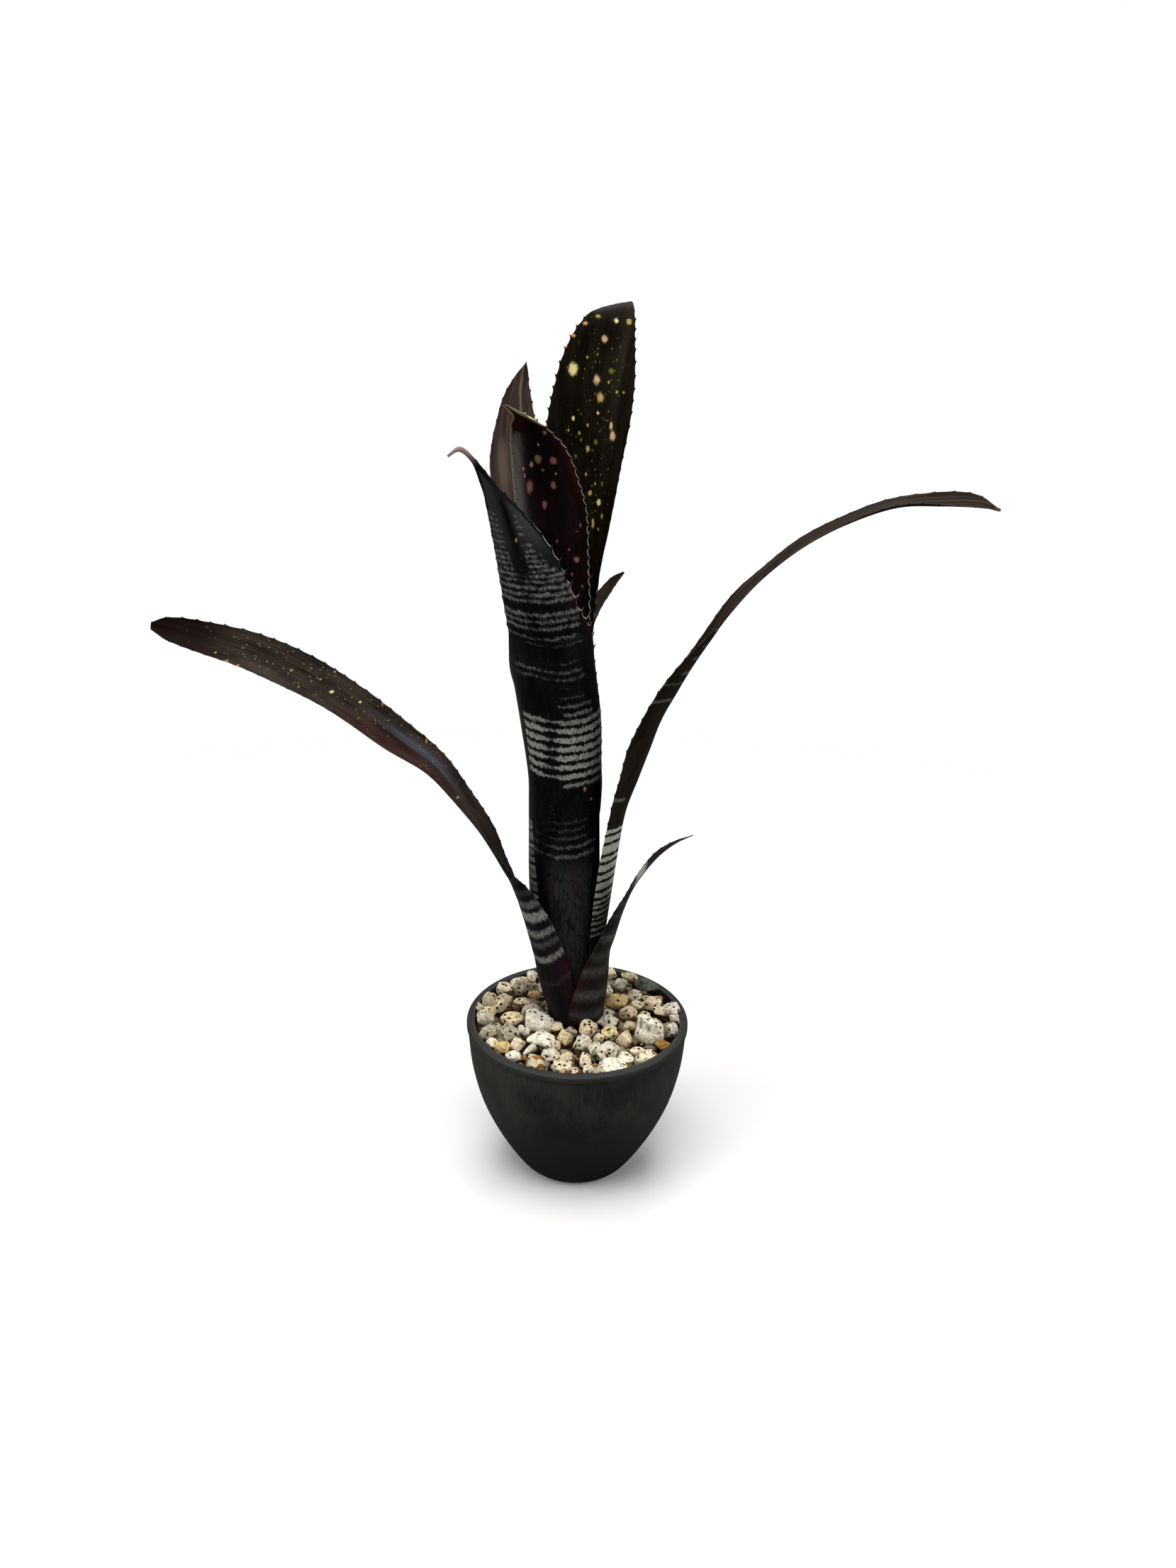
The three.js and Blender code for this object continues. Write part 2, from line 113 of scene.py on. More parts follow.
def cross_bands(first, last, spacing, half, strength, fading, seed, left=-40, right=40):
    """Rows of a leaf's bands from one height to another, with spacing, thickness and strength that vary a
    little from band to band, and a strength that fades with height."""
    rows = []
    z, i = first, 0
    while z < last:
        vary = math.sin(2.3 * i + seed)
        own_strength = strength * (1 - 0.3 * vary) - fading * (z - first)
        rows.append((z, half * (1 + 0.25 * vary), own_strength, left, right))
        z += spacing * (1 + 0.3 * math.sin(1.7 * i * i + seed))
        i += 1
    return rows


# Leaves. A sheath row is height, direction, and the reach to left and right round the tube in degrees.
# A blade row is the left margin's place, the right margin's place, and the depth of the hollow side.
# A band is the height at the midrib, half its height, its strength, and its reach to left and right in mm.
# Teeth are their spacing, their height on the left and on the right margin, and the height on the leaf from
# which they stand. Rag is how far in mm the silver bands' edges run in and out. Columns are
# those of half the blade and step is the spacing of its stations. Vee and bow bend the bands by the distance
# from the midrib and by its square, and middle gives the midrib's place by height. Flare turns the teeth into
# the leaf's own plane, calm shortens them away from the upright part of the margin, lined is the side that
# has a pale hairline, bare_tip is the length without teeth, and the crease table is the line of a dark
# crease, painted shade, that breaks the bands.
LEAVES = {
    "leaf_left_arching": {
        "layer": 1, "push": 0.3, "columns": 15, "step": 0.8,
        "teeth": (5.9, 0.5, 0.45, 128), "rag": 4.0, "vee": 0.0, "bow": 0.028,
        "sheath": [(66, 210, 50, 62), (84, 210, 60, 70), (100, 210, 62, 68), (118, 210, 58, 60)],
        "blade": [
            (-27, 6, 138, -12, -20, 140, 6), (-30, 0, 153, -23, -22, 159, 4.5),
            (-34.5, -5, 168, -33.5, -24, 170, 2.6), (-40, -10, 185, -45, -28, 190, 2.6),
            (-50, -12, 203, -56, -31, 206, 3.5), (-61, -15, 221, -67.5, -34, 219, 4),
            (-77, -18, 237, -82, -36, 229, 5), (-94, -21, 252, -99, -38, 242, 4.6),
            (-115, -24, 267, -118, -40, 254.2, 4), (-136, -27, 277, -138, -42, 265, 3.4),
            (-157, -32, 283, -157, -44, 272, 2.6), (-170.5, -36, 285.4, -169.5, -44, 277, 1.8),
            (-177, -40.5, 284, -176.6, -43, 281.8, 0.4)],
        "middle": [(80, -1), (200, -1)],
        "bands": [(161, 1.2, 0.15, -20, 20), (153.5, 1.2, 0.2, -20, 20), (146.8, 1.7, 0.6, -20, 20),
                  (139.8, 2.5, 1, -20, 20), (130.6, 1.6, 0.75, -20, 20), (124.8, 1.3, 0.35, -20, 20),
                  (117.1, 1.4, 0.8, -20, 20), (104, 1.0, 0.08, -20, 20)],
    },
    "leaf_small_right": {
        "layer": 2, "push": 0.8, "columns": 13, "step": 0.8,
        "teeth": (5.0, 0.5, 0.5, 118), "rag": 4.6, "vee": 0.2,
        "sheath": [(66, 322, 72, 34), (84, 322, 70, 42), (96, 322, 57, 46), (108, 322, 43, 46),
                   (117, 322, 33, 44)],
        "blade": [
            (9, -22, 133, 15.5, 0, 130, 4.5), (15, -24, 147, 19.5, -6, 146, 3),
            (22, -26, 161, 24.8, -13, 160.5, 1.4), (29.5, -28, 173, 30.5, -17, 171.5, 0.9),
            (36, -29, 181, 35.5, -21, 179.5, 0.8), (43, -29, 186.5, 43, -24, 185.8, 0.5),
            (50, -27, 189.8, 50, -27, 189.2, 0.3)],
        "bands": [(167, 3.8, 1.2, -9, 9), (152, 1.6, 0.24, -8, 8), (145, 1.5, 0.22, -8, 8),
                  (132.5, 1.9, 0.42, -9, 9), (121, 1.6, 0.26, -9, 9), (112, 1.6, 0.3, -12, 3),
                  (99, 1.8, 0.36, -14, 0), (88, 1.5, 0.24, -12, 4)],
    },
    "leaf_right_arching": {
        "layer": 1, "push": 0, "columns": 15, "step": 0.8,
        "teeth": (6.2, 0.55, 0.4, 165), "rag": 2.2, "vee": 0.05,
        "sheath": [(74, 350, 45, 45), (95, 350, 49, 50), (130, 350, 44, 50)],
        "blade": [
            (7, -17, 153.5, 9.5, 12, 150, 6.8), (9.7, -17, 176, 12, 12, 171, 6.8),
            (13.2, -18, 197, 16, 10, 190, 6), (17, -20, 213, 21.5, 8, 208, 6.5),
            (20, -22, 228, 27, 6, 224, 7), (26, -24, 243, 32, 4, 240, 6.5), (33, -26, 256, 38.5, 1, 254, 6),
            (41.5, -28, 268, 46, -2, 266, 4.2), (50, -30, 279, 53.5, -5, 278, 3),
            (63, -34, 295.3, 63, -12, 294.6, 1.4), (74, -36, 307.8, 72, -15.5, 305.2, 1.2),
            (88.5, -40, 320.8, 86, -20, 318.3, 1.2), (104.5, -45, 330.8, 102, -26, 328.8, 1.4),
            (121.5, -51, 337.4, 119.5, -33, 338, 1.7), (137.5, -55, 338.6, 137, -41, 341.8, 2.2),
            (150.5, -57, 338, 150.5, -47, 341.8, 1.6), (158.5, -55, 336.5, 158.5, -55, 337, 0.3)],
        "bands": [(185.0, 1.05, 1, -40, 40), (181.2, 1.5, 1, -40, 40), (176.0, 2.3, 1, -40, 40),
                  (171.1, 1.2, 1, -40, 40), (166.9, 1.7, 1, -40, 40), (162.4, 1.4, 1, -40, 40),
                  (158.0, 1.75, 1, -40, 40), (153.5, 1.35, 1, -40, 40), (149.9, 0.95, 1, -40, 40),
                  (147.0, 0.8, 0.95, -40, 40), (144.0, 1.05, 0.95, -40, 40), (141.0, 0.7, 0.9, -40, 40),
                  (138.0, 0.95, 0.85, -40, 40), (134.7, 0.9, 0.75, -40, 40), (131.4, 0.9, 0.6, -40, 40),
                  (201, 1.3, 0.24, -40, -9), (249, 1.0, 0.2, -40, -3), (257, 0.9, 0.12, -40, -3),
                  (262, 1.0, 0.22, -9, 1), (269, 1.0, 0.18, -9, 1), (275, 1.0, 0.15, -9, 1),
                  (283, 1.4, 0.3, -9, 40)],
    },
    "leaf_small_rear": {
        "layer": 1, "push": 0, "columns": 10, "step": 1.0,
        "teeth": (4.6, 0.5, 0.5, 175), "rag": 2.6, "vee": 0.1,
        "sheath": [(74, 85, 40, 40), (95, 85, 42, 42), (130, 85, 40, 40), (160, 83, 30, 30)],
        "blade": [
            (-3, 22, 185, -14, 22, 185, 2.5), (-4, 28, 215, -13, 28, 215, 2.5), (-2, 38, 248, -9, 38, 248, 2),
            (6, 46, 273, 1, 47, 276, 1.5), (13, 55, 284, 10.5, 56, 288.5, 1),
            (19, 60, 292, 18.4, 60, 292.6, 0.3)],
        "bands": [(270, 1, 0.3, -9, 9), (262, 1, 0.3, -9, 9), (240, 1.2, 0.4, -9, 9), (232, 1.2, 0.4, -9, 9),
                  (214, 1.3, 0.5, -9, 9), (206, 1.3, 0.5, -9, 9), (198, 1.3, 0.4, -9, 9),
                  (160, 1.3, 0.6, -20, 20), (154, 1.3, 0.7, -20, 20), (148, 1.3, 0.7, -20, 20),
                  (142, 1.2, 0.6, -20, 20), (136, 1.2, 0.6, -20, 20)],
    },
    "leaf_front_banded": {
        "layer": 0, "push": 0, "lined": 1, "columns": 30, "step": 0.6,
        "teeth": (6.0, 0.6, 2.9, 212), "rag": 3.8, "vee": 0.1, "flare": 0.35, "calm": 0.7,
        "sheath": [(84, 270, 40, 40), (110, 270, 42, 42), (140, 268, 41, 42), (160, 268, 48, 46),
                   (180, 268, 59, 56), (205, 268, 66, 88), (240, 267, 56, 95), (262, 266, 52, 92)],
        "blade": [
            (-33.5, -9, 276, 3, -2, 276, 14), (-35, -11, 288, -2.5, -10, 288, 12),
            (-36.8, -13, 303, -8.5, -14, 303.5, 10), (-39, -16, 315.5, -16, -18, 316.5, 7),
            (-41, -19, 327.5, -25.5, -20, 328, 4.5), (-42.5, -21, 336, -34.5, -22, 337, 2.5),
            (-44.5, -22, 342.5, -40.5, -23, 344, 1.2), (-47, -23.5, 348.5, -46.5, -24, 351, 0.6),
            (-51.5, -26, 352.5, -51.5, -25, 354.5, 0.5), (-56, -27, 350.4, -56.4, -27, 351.2, 0.3)],
        "middle": [(205, -2.8), (230, -3), (255, -1), (278, 1), (292, 2.4), (307, 2)],
        "shaded_crease": [(290, -2.5), (307, -1.3), (317, -0.6), (327, 0.7), (336, 3.1)],
        "bands": [(330.5, 0.45, 0.26, -2, 2.5), (327.6, 0.5, 0.3, -30, 2.5), (325.2, 0.5, 0.34, -30, 3),
                  (322.8, 0.55, 0.36, -30, 3), (320.3, 0.55, 0.36, -30, 3.2), (317.9, 0.45, 0.28, -30, -3),
                  (315.6, 0.6, 0.38, -30, 4), (313.3, 0.6, 0.39, -30, 5), (311.1, 0.65, 0.4, -30, 6),
                  (308.9, 0.65, 0.41, -30, 6.5), (306.7, 0.7, 0.42, -30, 8), (304.7, 0.7, 0.43, -40, 11),
                  (302.4, 0.7, 0.43, -40, 15), (300.2, 0.65, 0.38, -40, 14), (297.4, 0.85, 0.42, -40, 17),
                  (294.5, 0.9, 0.45, -40, 18), (291.7, 0.85, 0.42, -40, 18), (285.9, 0.95, 0.47, -40, 18),
                  (282.9, 0.9, 0.46, -40, 16), (279.7, 0.9, 0.46, -40, 15), (275.2, 0.7, 0.34, -40, 12),
                  (272.2, 0.5, 0.18, -14, 12), (264.6, 0.5, 0.13, -1, 9), (260.7, 0.8, 0.29, -40, 9),
                  (257.3, 0.7, 0.25, -40, 11), (253.5, 0.4, 0.1, -2, 3), (249.2, 0.5, 0.17, -2, 10),
                  (245.2, 0.75, 0.36, -3, 13), (241.6, 0.9, 0.5, 0, 14), (237.7, 1.2, 0.72, -40, 30),
                  (233.6, 1.3, 0.88, -40, 30), (229.3, 1.35, 0.92, -40, 30), (225.0, 1.35, 0.94, -40, 30),
                  (220.8, 1.3, 0.94, -40, 30), (216.4, 1.3, 0.92, -40, 30), (212.0, 1.2, 0.84, -40, 30),
                  (207.8, 1.0, 0.62, 0, 30), (190, 0.9, 0.06, -5, 12), (186.3, 0.8, 0.09, -8, 12),
                  (182.3, 0.8, 0.15, -12, 13), (178.0, 1.0, 0.24, -40, 30), (173.3, 1.1, 0.28, -40, 30)],
    },
    "leaf_tall_back": {
        "layer": -2, "push": 1.6, "bare_tip": 38, "columns": 20, "step": 0.8,
        "teeth": (5.6, 0.75, 1.15, 250), "rag": 2.6, "vee": 0.1,
        "sheath": [(93, 40, 50, 50), (120, 40, 80, 60), (180, 40, 85, 60), (205, 40, 85, 66),
                   (225, 40, 75, 58), (262, 42, 38, 56)],
        "blade": [
            (4.5, 6, 285, -8, 22, 283, 5), (6.5, 10, 302, -11.5, 24, 300, 6), (9, 13, 315, -14, 26, 313, 7),
            (12.5, 17, 332, -17, 28, 331, 8), (16, 22, 350, -18.5, 29, 349, 8),
            (18.5, 26, 365, -18.5, 30, 363, 7), (20, 31, 380, -15.5, 33, 379, 6),
            (20.3, 37, 395, -10.7, 38, 394, 4.5), (19.8, 44, 408.5, -3.3, 44, 406.2, 1.4),
            (18.5, 56, 414.3, 5.4, 55, 411.6, 0.15), (16, 70, 411.4, 9, 69, 411, 0.15),
            (14, 80, 404, 13.5, 80, 404, 0.3)],
        "bands": cross_bands(150, 226, 4.6, 1.2, 0.75, 0.002, 1.7, -1, 40)
                 + cross_bands(230, 342, 4.8, 1.2, 0.5, 0.004, 1.1),
    },
    "leaf_back_left": {
        "layer": -3.9, "push": 5.6, "columns": 18, "step": 0.8,
        "teeth": (5.2, 0.6, 0.6, 250), "rag": 2.6, "vee": 0.15,
        "sheath": [(94, 168, 50, 50), (120, 168, 58, 74), (200, 168, 58, 76), (225, 168, 56, 74),
                   (262, 164, 54, 66)],
        "blade": [
            (-14.5, 18, 285, -34, 1, 286, 8), (-14.5, 19, 301, -36, 2, 302, 7.5),
            (-15.5, 19, 319, -39, 4, 320, 7), (-17, 19, 335, -41, 6, 335, 6.5),
            (-19.5, 19, 349, -41.8, 9, 348, 6), (-23, 19, 363, -40, 12, 361.5, 4.5),
            (-25, 19, 373, -37, 15, 373, 3), (-26.2, 20, 381, -32.5, 18, 381, 1.5),
            (-27, 20, 387.6, -27.5, 20, 387, 0.3)],
        "bands": cross_bands(140, 188, 3.1, 1.1, 0.7, 0.001, 0.4)
                 + cross_bands(191, 300, 5.2, 1.1, 0.6, 0.005, 2.9, -40, -13),
    },
    "leaf_inner_spotted": {
        "layer": -3, "push": 0, "lined": -1, "columns": 22, "step": 0.7,
        "teeth": (4.4, 2.0, 0.25, 262), "rag": 2.6, "vee": 0.1, "flare": 0.8,
        "sheath": [(106, 85, 60, 60), (140, 85, 84, 84), (200, 84, 92, 92), (240, 84, 84, 84),
                   (262, 84, 76, 76)],
        "blade": [
            (2.5, 3, 284, -23, 3, 283, 13), (2, 2, 303, -25, 4, 302, 12), (1, 1, 316, -27, 4, 315, 11),
            (-0.2, 0, 328, -29.5, 4, 327, 10), (-3.2, -1, 339.5, -30.5, 3, 339, 9),
            (-7.5, -2, 351.5, -31, 1, 350.5, 7.5), (-14, -3, 359, -31.5, -1, 358.5, 5.5),
            (-20, -4, 363.5, -32.3, -2, 362, 3.3), (-27, -5, 367.1, -31.3, -4, 365.6, 1.3),
            (-35, -6, 370.6, -35.4, -6, 370.1, 0.3)],
        "bands": cross_bands(150, 330, 5.3, 1.1, 0.5, 0.003, 4.2),
    },
}

# Camera: place in metres, angles in degrees, and focal length and the picture's height in pixels
CAMERA_PLACE = (0, -0.5099, 0.3819)
LOOKING_DOWN = 19.30
LOOKING_RIGHT = 0.33
PICTURE_TURN = 1.17
FOCAL_PX = 1640
PICTURE_PX = 2212
SENSOR_MM = 36.0
PICTURE_MIDDLE = (829.5, 1106)

# Views: enlarged parts of the photograph in which spots and pebbles were read, as left edge and top
# edge in its pixels, and enlargement
VIEWS = {
    "whole": (0, 0, 1), "heap": (640, 1340, 4.1667), "tall": (690, 420, 6.818), "tips": (620, 560, 5.833),
    "arch": (200, 840, 3.0769),
}

# Spots: middle across and down, half width and half height, by tint and by the view that they were read in;
# a few sizes were corrected later. Those under mm lie on a margin: their rows are a place and the two half
# sizes in mm.
SPOTS = {
    "leaf_tall_back": {
        "cream": {"tall": [(805, 685, 52, 65), (1225, 225, 26, 30), (808, 1160, 20, 24)],
                  "tips": [(1310, 865, 20, 28)]},
        "peach": {"tall": [(1035, 790, 35, 50), (1110, 395, 32, 38), (1172, 1235, 18, 42),
                           (1048, 1108, 16, 20), (1415, 130, 14, 26), (1187, 1330, 32, 50)]},
        "tan": {"tall": [(1070, 960, 38, 50), (948, 1455, 20, 36), (970, 1880, 22, 28)],
                "tips": [(1262, 1040, 14, 44)]},
        "orange": {"mm": [(-2.1, 43.4, 404.2, 1.5, 0.9), (-7.4, 40.3, 399, 1.2, 0.9),
                          (-10.6, 38, 394.6, 0.9, 1.1), (0.5, 47, 406.8, 0.7, 0.5)]},
        "yellow": {"tall": [(1347, 235, 30, 30), (1048, 183, 30, 22), (948, 1225, 14, 18),
                            (868, 1300, 14, 20), (763, 1273, 12, 16), (930, 1700, 12, 20),
                            (1150, 812, 12, 16), (1230, 908, 14, 16), (1293, 910, 12, 14),
                            (943, 572, 12, 12)],
                   "tips": [(1335, 980, 10, 26), (1305, 1090, 8, 14), (1280, 715, 9, 14)]},
        "green": {"tall": [(1025, 1388, 20, 28), (1175, 705, 26.5, 26.5), (1043, 545, 12, 16),
                           (832, 1520, 14, 20), (885, 1365, 12, 22), (1085, 1790, 10, 26)]},
    },
    "leaf_inner_spotted": {
        "rose": {"tips": [(935, 525, 34, 36), (742, 740, 30, 60), (865, 885, 22, 42), (1128, 1338, 26, 30),
                          (937, 725, 24, 36)]},
        "tan": {"tips": [(812, 510, 30, 40), (865, 293, 18, 22), (852, 603, 14, 10), (957, 632, 12, 14)]},
        "peach": {"tips": [(755, 558, 18, 28), (812, 395, 12, 16), (690, 590, 10, 22), (655, 600, 12, 26),
                           (640, 560, 10, 26), (700, 650, 8, 24)]},
        "mauve": {"tips": [(1158, 1055, 14, 20), (1175, 1560, 16, 20), (967, 1188, 12, 20),
                           (1067, 1258, 12, 16), (1130, 1108, 10, 12), (1090, 1460, 14, 20),
                           (655, 320, 14, 26)]},
    },
    "leaf_left_arching": {
        "cream": {"arch": [(823, 420, 11.4, 7.4), (948, 463, 7.9, 6.4), (320, 247, 5, 4)]},
        "orange": {"mm": [(-147.4, -43.2, 268.6, 1.6, 0.6), (-142.5, -42.6, 267, 0.8, 0.5),
                          (-87.5, -20.3, 245.6, 0.5, 0.9), (-69.2, -17.2, 228.2, 0.5, 1.2)]},
        "yellow": {"arch": [(648, 326, 8, 6), (735, 373, 5, 4), (775, 364, 6, 5), (838, 332, 7, 6),
                            (680, 396, 6, 5), (203, 203, 6, 5)]},
        "green": {"arch": [(440, 226, 8, 5), (400, 180, 9, 5), (196, 152, 7, 8), (280, 136, 8, 8),
                           (940, 535, 8, 5)]},
        "tan": {"arch": [(1073, 542, 5, 4), (1372, 877, 6, 6)]},
    },
    "leaf_front_banded": {
        "rose": {"whole": [(825, 1113, 2.5, 4.2), (834, 1127, 1.7, 2.32)]},
        "tan": {"whole": [(728, 762, 1.66, 3.66)]},
    },
}

# Pumice pebbles read in the view of the heap: middle across and down, half width and half height, and
# tint. Two of them also have the height in mm at which they lie on their neighbours.
PEBBLES = [
    (1150, 485, 82, 92, "w"), (520, 525, 85, 52, "w"), (500, 432, 88, 48, "p", 81.6), (325, 485, 58, 42, "g"),
    (345, 400, 66, 38, "y"), (185, 400, 55, 50, "s"), (290, 320, 56, 46, "b"), (385, 215, 55, 58, "c"),
    (300, 225, 50, 40, "c"), (455, 170, 28, 40, "c"), (660, 520, 50, 55, "y"), (760, 550, 50, 64, "s"),
    (790, 470, 52, 48, "t"), (925, 485, 52, 45, "y"), (905, 600, 72, 58, "s"), (835, 585, 45, 55, "s"),
    (670, 625, 46, 42, "b"), (770, 655, 42, 46, "c"), (570, 615, 50, 38, "s"), (630, 682, 58, 30, "c"),
    (925, 690, 88, 28, "w"), (1120, 645, 80, 28, "c"), (1085, 600, 50, 36, "c"), (1005, 635, 48, 36, "w"),
    (905, 420, 62, 38, "s"), (965, 300, 62, 60, "o"), (980, 205, 42, 50, "p"), (1035, 165, 55, 42, "t"),
    (1127, 204, 73, 45, "d", 84.6), (925, 140, 36, 42, "c"), (900, 245, 36, 34, "p"),
    (1030, 375, 58, 48, "t"), (1165, 320, 55, 38, "c"), (1075, 325, 42, 30, "c"), (1275, 350, 56, 40, "p"),
    (1275, 475, 42, 62, "s"), (1235, 565, 45, 28, "n"), (290, 570, 50, 42, "o"), (370, 555, 46, 38, "c"),
    (355, 625, 46, 34, "w"), (460, 580, 50, 42, "s"), (220, 540, 48, 28, "c"), (205, 480, 56, 30, "g"),
    (415, 480, 34, 44, "p"), (212, 300, 50, 58, "b"), (395, 305, 50, 32, "b"), (460, 350, 56, 24, "g"),
    (468, 262, 40, 26, "r"), (498, 637, 36, 22, "n"), (412, 635, 26, 20, "n"), (480, 672, 62, 26, "b"),
    (700, 714, 46, 16, "c"), (1065, 268, 42, 32, "s"), (1205, 285, 32, 18, "r"), (1140, 290, 36, 20, "b"),
    (605, 455, 42, 28, "b"), (692, 480, 34, 28, "g"), (480, 315, 32, 20, "d"), (870, 345, 26, 34, "r"),
    (1005, 520, 48, 42, "t"), (1045, 445, 46, 38, "b"), (1215, 360, 40, 34, "c"), (1110, 400, 34, 26, "c"),
    (820, 690, 26, 22, "n"), (1180, 500, 30, 30, "c"), (1300, 410, 30, 34, "p"), (155, 340, 24, 30, "b"),
    (250, 620, 30, 16, "c"), (600, 560, 34, 28, "t"), (850, 520, 34, 30, "t"),
]


def tone(red, green, blue):
    """Linear colour of a display colour given from 0 to 255."""
    def linear(value):
        """One channel, from 0 to 255, with the display's curve taken out."""
        value = value / 255
        return value / 12.92 if value <= 0.04045 else ((value + 0.055) / 1.055) ** 2.4
    return (linear(red), linear(green), linear(blue))


def dimmed(colour, share):
    """A colour times a share of it."""
    return tuple(share * value for value in colour)


# Tints of the pebbles, and of the spots
TINTS = {
    "w": tone(255, 249, 230), "c": tone(244, 230, 200), "y": tone(228, 212, 168), "b": tone(210, 196, 166),
    "t": tone(220, 200, 168), "g": tone(176, 168, 148), "s": tone(224, 216, 196), "p": tone(234, 224, 210),
    "o": tone(226, 200, 142), "d": tone(88, 94, 86), "n": tone(152, 108, 56), "r": tone(176, 140, 108),
}
SPOT_TINTS = {
    "cream": tone(222, 206, 142), "peach": tone(206, 164, 130), "tan": tone(178, 146, 94),
    "yellow": tone(160, 148, 74), "green": tone(96, 100, 38), "rose": tone(172, 110, 108),
    "mauve": tone(132, 80, 92), "orange": tone(196, 138, 76),
}


# Readings from the photograph

def camera_axes():
    """The camera's forward, right and up directions, from its three angles."""
    pitch, yaw, roll = (math.radians(v) for v in (LOOKING_DOWN, LOOKING_RIGHT, PICTURE_TURN))
    forward = Vector((math.sin(yaw) * math.cos(pitch), math.cos(yaw) * math.cos(pitch), -math.sin(pitch)))
    level = Vector((math.cos(yaw), -math.sin(yaw), 0))
    upright = level.cross(forward)
    right = math.cos(roll) * level + math.sin(roll) * upright
    up = -math.sin(roll) * level + math.cos(roll) * upright
    return forward, right, up


def sight_line(view, across, down):
    """Direction in which the camera sees a point read in a view, with a forward part of 1."""
    left, top, zoom = VIEWS[view]
    forward, right, up = (np.array(axis) for axis in camera_axes())
    return (forward + right * (left + across / zoom - PICTURE_MIDDLE[0]) / FOCAL_PX
            - up * (top + down / zoom - PICTURE_MIDDLE[1]) / FOCAL_PX)


def spot_rows(leaf_name):
    """Spots of a leaf by tint, as place, half width and half height in mm: each lies where its sight line
    first meets the leaf's solid, and has its seen size times the distance over the focal length. A spot
    whose sight line misses the solid is left out."""
    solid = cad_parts[leaf_name].data
    tree = BVHTree.FromPolygons([v.co for v in solid.vertices], [p.vertices for p in solid.polygons])
    camera = Vector(CAMERA_PLACE)
    spots = {}
    for tint, views in SPOTS.get(leaf_name, {}).items():
        spots[tint] = list(views.get("mm", []))
        for view in sorted(set(views) - {"mm"}):
            for across, down, wide, tall in views[view]:
                place = tree.ray_cast(camera, Vector(sight_line(view, across, down)))[0]
                if place is None:
                    continue
                scale = (place - camera).length / MM / FOCAL_PX / VIEWS[view][2]
                x, y, z = (round(v / MM, 1) for v in place)
                spots[tint].append((x, y, z, round(wide * scale, 2), round(tall * scale, 2)))
    return {tint: rows for tint, rows in spots.items() if rows}


def pebble_centre(across, down, half, heights):
    """Centre of a pebble read in the view of the heap: of the points at the given heights on its sight line,
    the one with the least (z - top)^2 + 3 w^2 + 3 p^2. The heap's top falls towards the camera and towards
    the wall, w is how far the pebble runs into the wall, and p how far into the plant."""
    start, ray = np.array(CAMERA_PLACE) / MM, sight_line("heap", across, down)
    places = start + ray * ((heights - start[2]) / ray[2])[:, None]
    x, y, z = places.T
    radius = np.hypot(x, y)
    top = HEAP_TOP - along(HEAP_FRONT_FALL, y) - along(HEAP_WALL_FALL, radius) * (y < HEAP_FULL_FROM)
    into_wall = np.maximum(0, radius + 0.8 * half - HEAP_REACH)
    into_plant = np.maximum(0, HEAP_PLANT_ROOM + 0.75 * min(half, 4.5) - np.hypot(x - PLANT_X, y))
    best = ((z - top) ** 2 + 3 * into_wall ** 2 + 3 * into_plant ** 2).argmin()
    return [round(float(v), 1) for v in (x[best], y[best], heights[best])]


# Shapes as numpy grids

def curve_through(points, place, held_ends=False):
    """Catmull-Rom curve of tension 0.5: row i of points is passed at place i. Past the ends, the points go on
    in a straight line, or stay where they are if held_ends is set."""
    points = np.asarray(points, float)
    first = points[0] if held_ends else 2 * points[0] - points[1]
    last = points[-1] if held_ends else 2 * points[-1] - points[-2]
    run = np.vstack([first, points, last])
    start = np.clip(np.floor(place).astype(int), 0, len(points) - 2)
    w = (place - start)[:, None]
    a, b, c, d = run[start], run[start + 1], run[start + 2], run[start + 3]
    return 0.5 * (2 * b + (c - a) * w + (2 * a - 5 * b + 4 * c - d) * w ** 2
                  + (3 * b - a - 3 * c + d) * w ** 3)


def along(table, x):
    """Value at x on the straight lines between the pairs of a table."""
    table = np.asarray(table, float)
    return np.interp(x, table[:, 0], table[:, 1])


def unit(vectors):
    """Vectors brought to length 1."""
    return vectors / np.maximum(np.linalg.norm(vectors, axis=-1, keepdims=True), 1e-9)


def smooth_step(low, high, x):
    """Rises from 0 at low to 1 at high along a cubic."""
    share = np.clip((x - low) / (high - low), 0, 1)
    return share * share * (3 - 2 * share)


def plateau(x, start, full, fall, end):
    """Rises from 0 at start to 1 at full, and falls from 1 at fall to 0 at end, along cubics."""
    return smooth_step(start, full, x) * (1 - smooth_step(fall, end, x))


def bell(x, width):
    """Bell curve exp(-(x / width)^2): 1 at 0, and a third of that one width away."""
    return np.exp(-(x / width) ** 2)


def grid_quads(rows, columns, wrap=False):
    """Quads between neighbouring points of a grid stored row by row; wrap joins the last column to the
    first."""
    row = np.arange(rows - 1)[:, None] * columns
    column = np.arange(columns if wrap else columns - 1)[None, :]
    following = (column + 1) % columns
    return np.stack([row + column, row + following, row + columns + following, row + columns + column],
                    -1).reshape(-1, 4)


def make_piece(name, points, faces, look, attributes=None):
    """A mesh object at the origin from points in mm and a list of face arrays, smooth, with point
    attributes."""
    mesh = bpy.data.meshes.new(name)
    mesh.from_pydata((np.asarray(points) * MM).tolist(), [], [f for group in faces for f in group.tolist()])
    mesh.polygons.foreach_set("use_smooth", np.ones(len(mesh.polygons), bool))
    for key, values in (attributes or {}).items():
        layer = mesh.attributes.new(key, "FLOAT_VECTOR", "POINT")
        layer.data.foreach_set("vector", np.asarray(values, np.float32).ravel())
    mesh.materials.append(look)
    mesh.validate()
    mesh.update()
    piece = bpy.data.objects.new(name, mesh)
    bpy.context.scene.collection.objects.link(piece)
    return piece


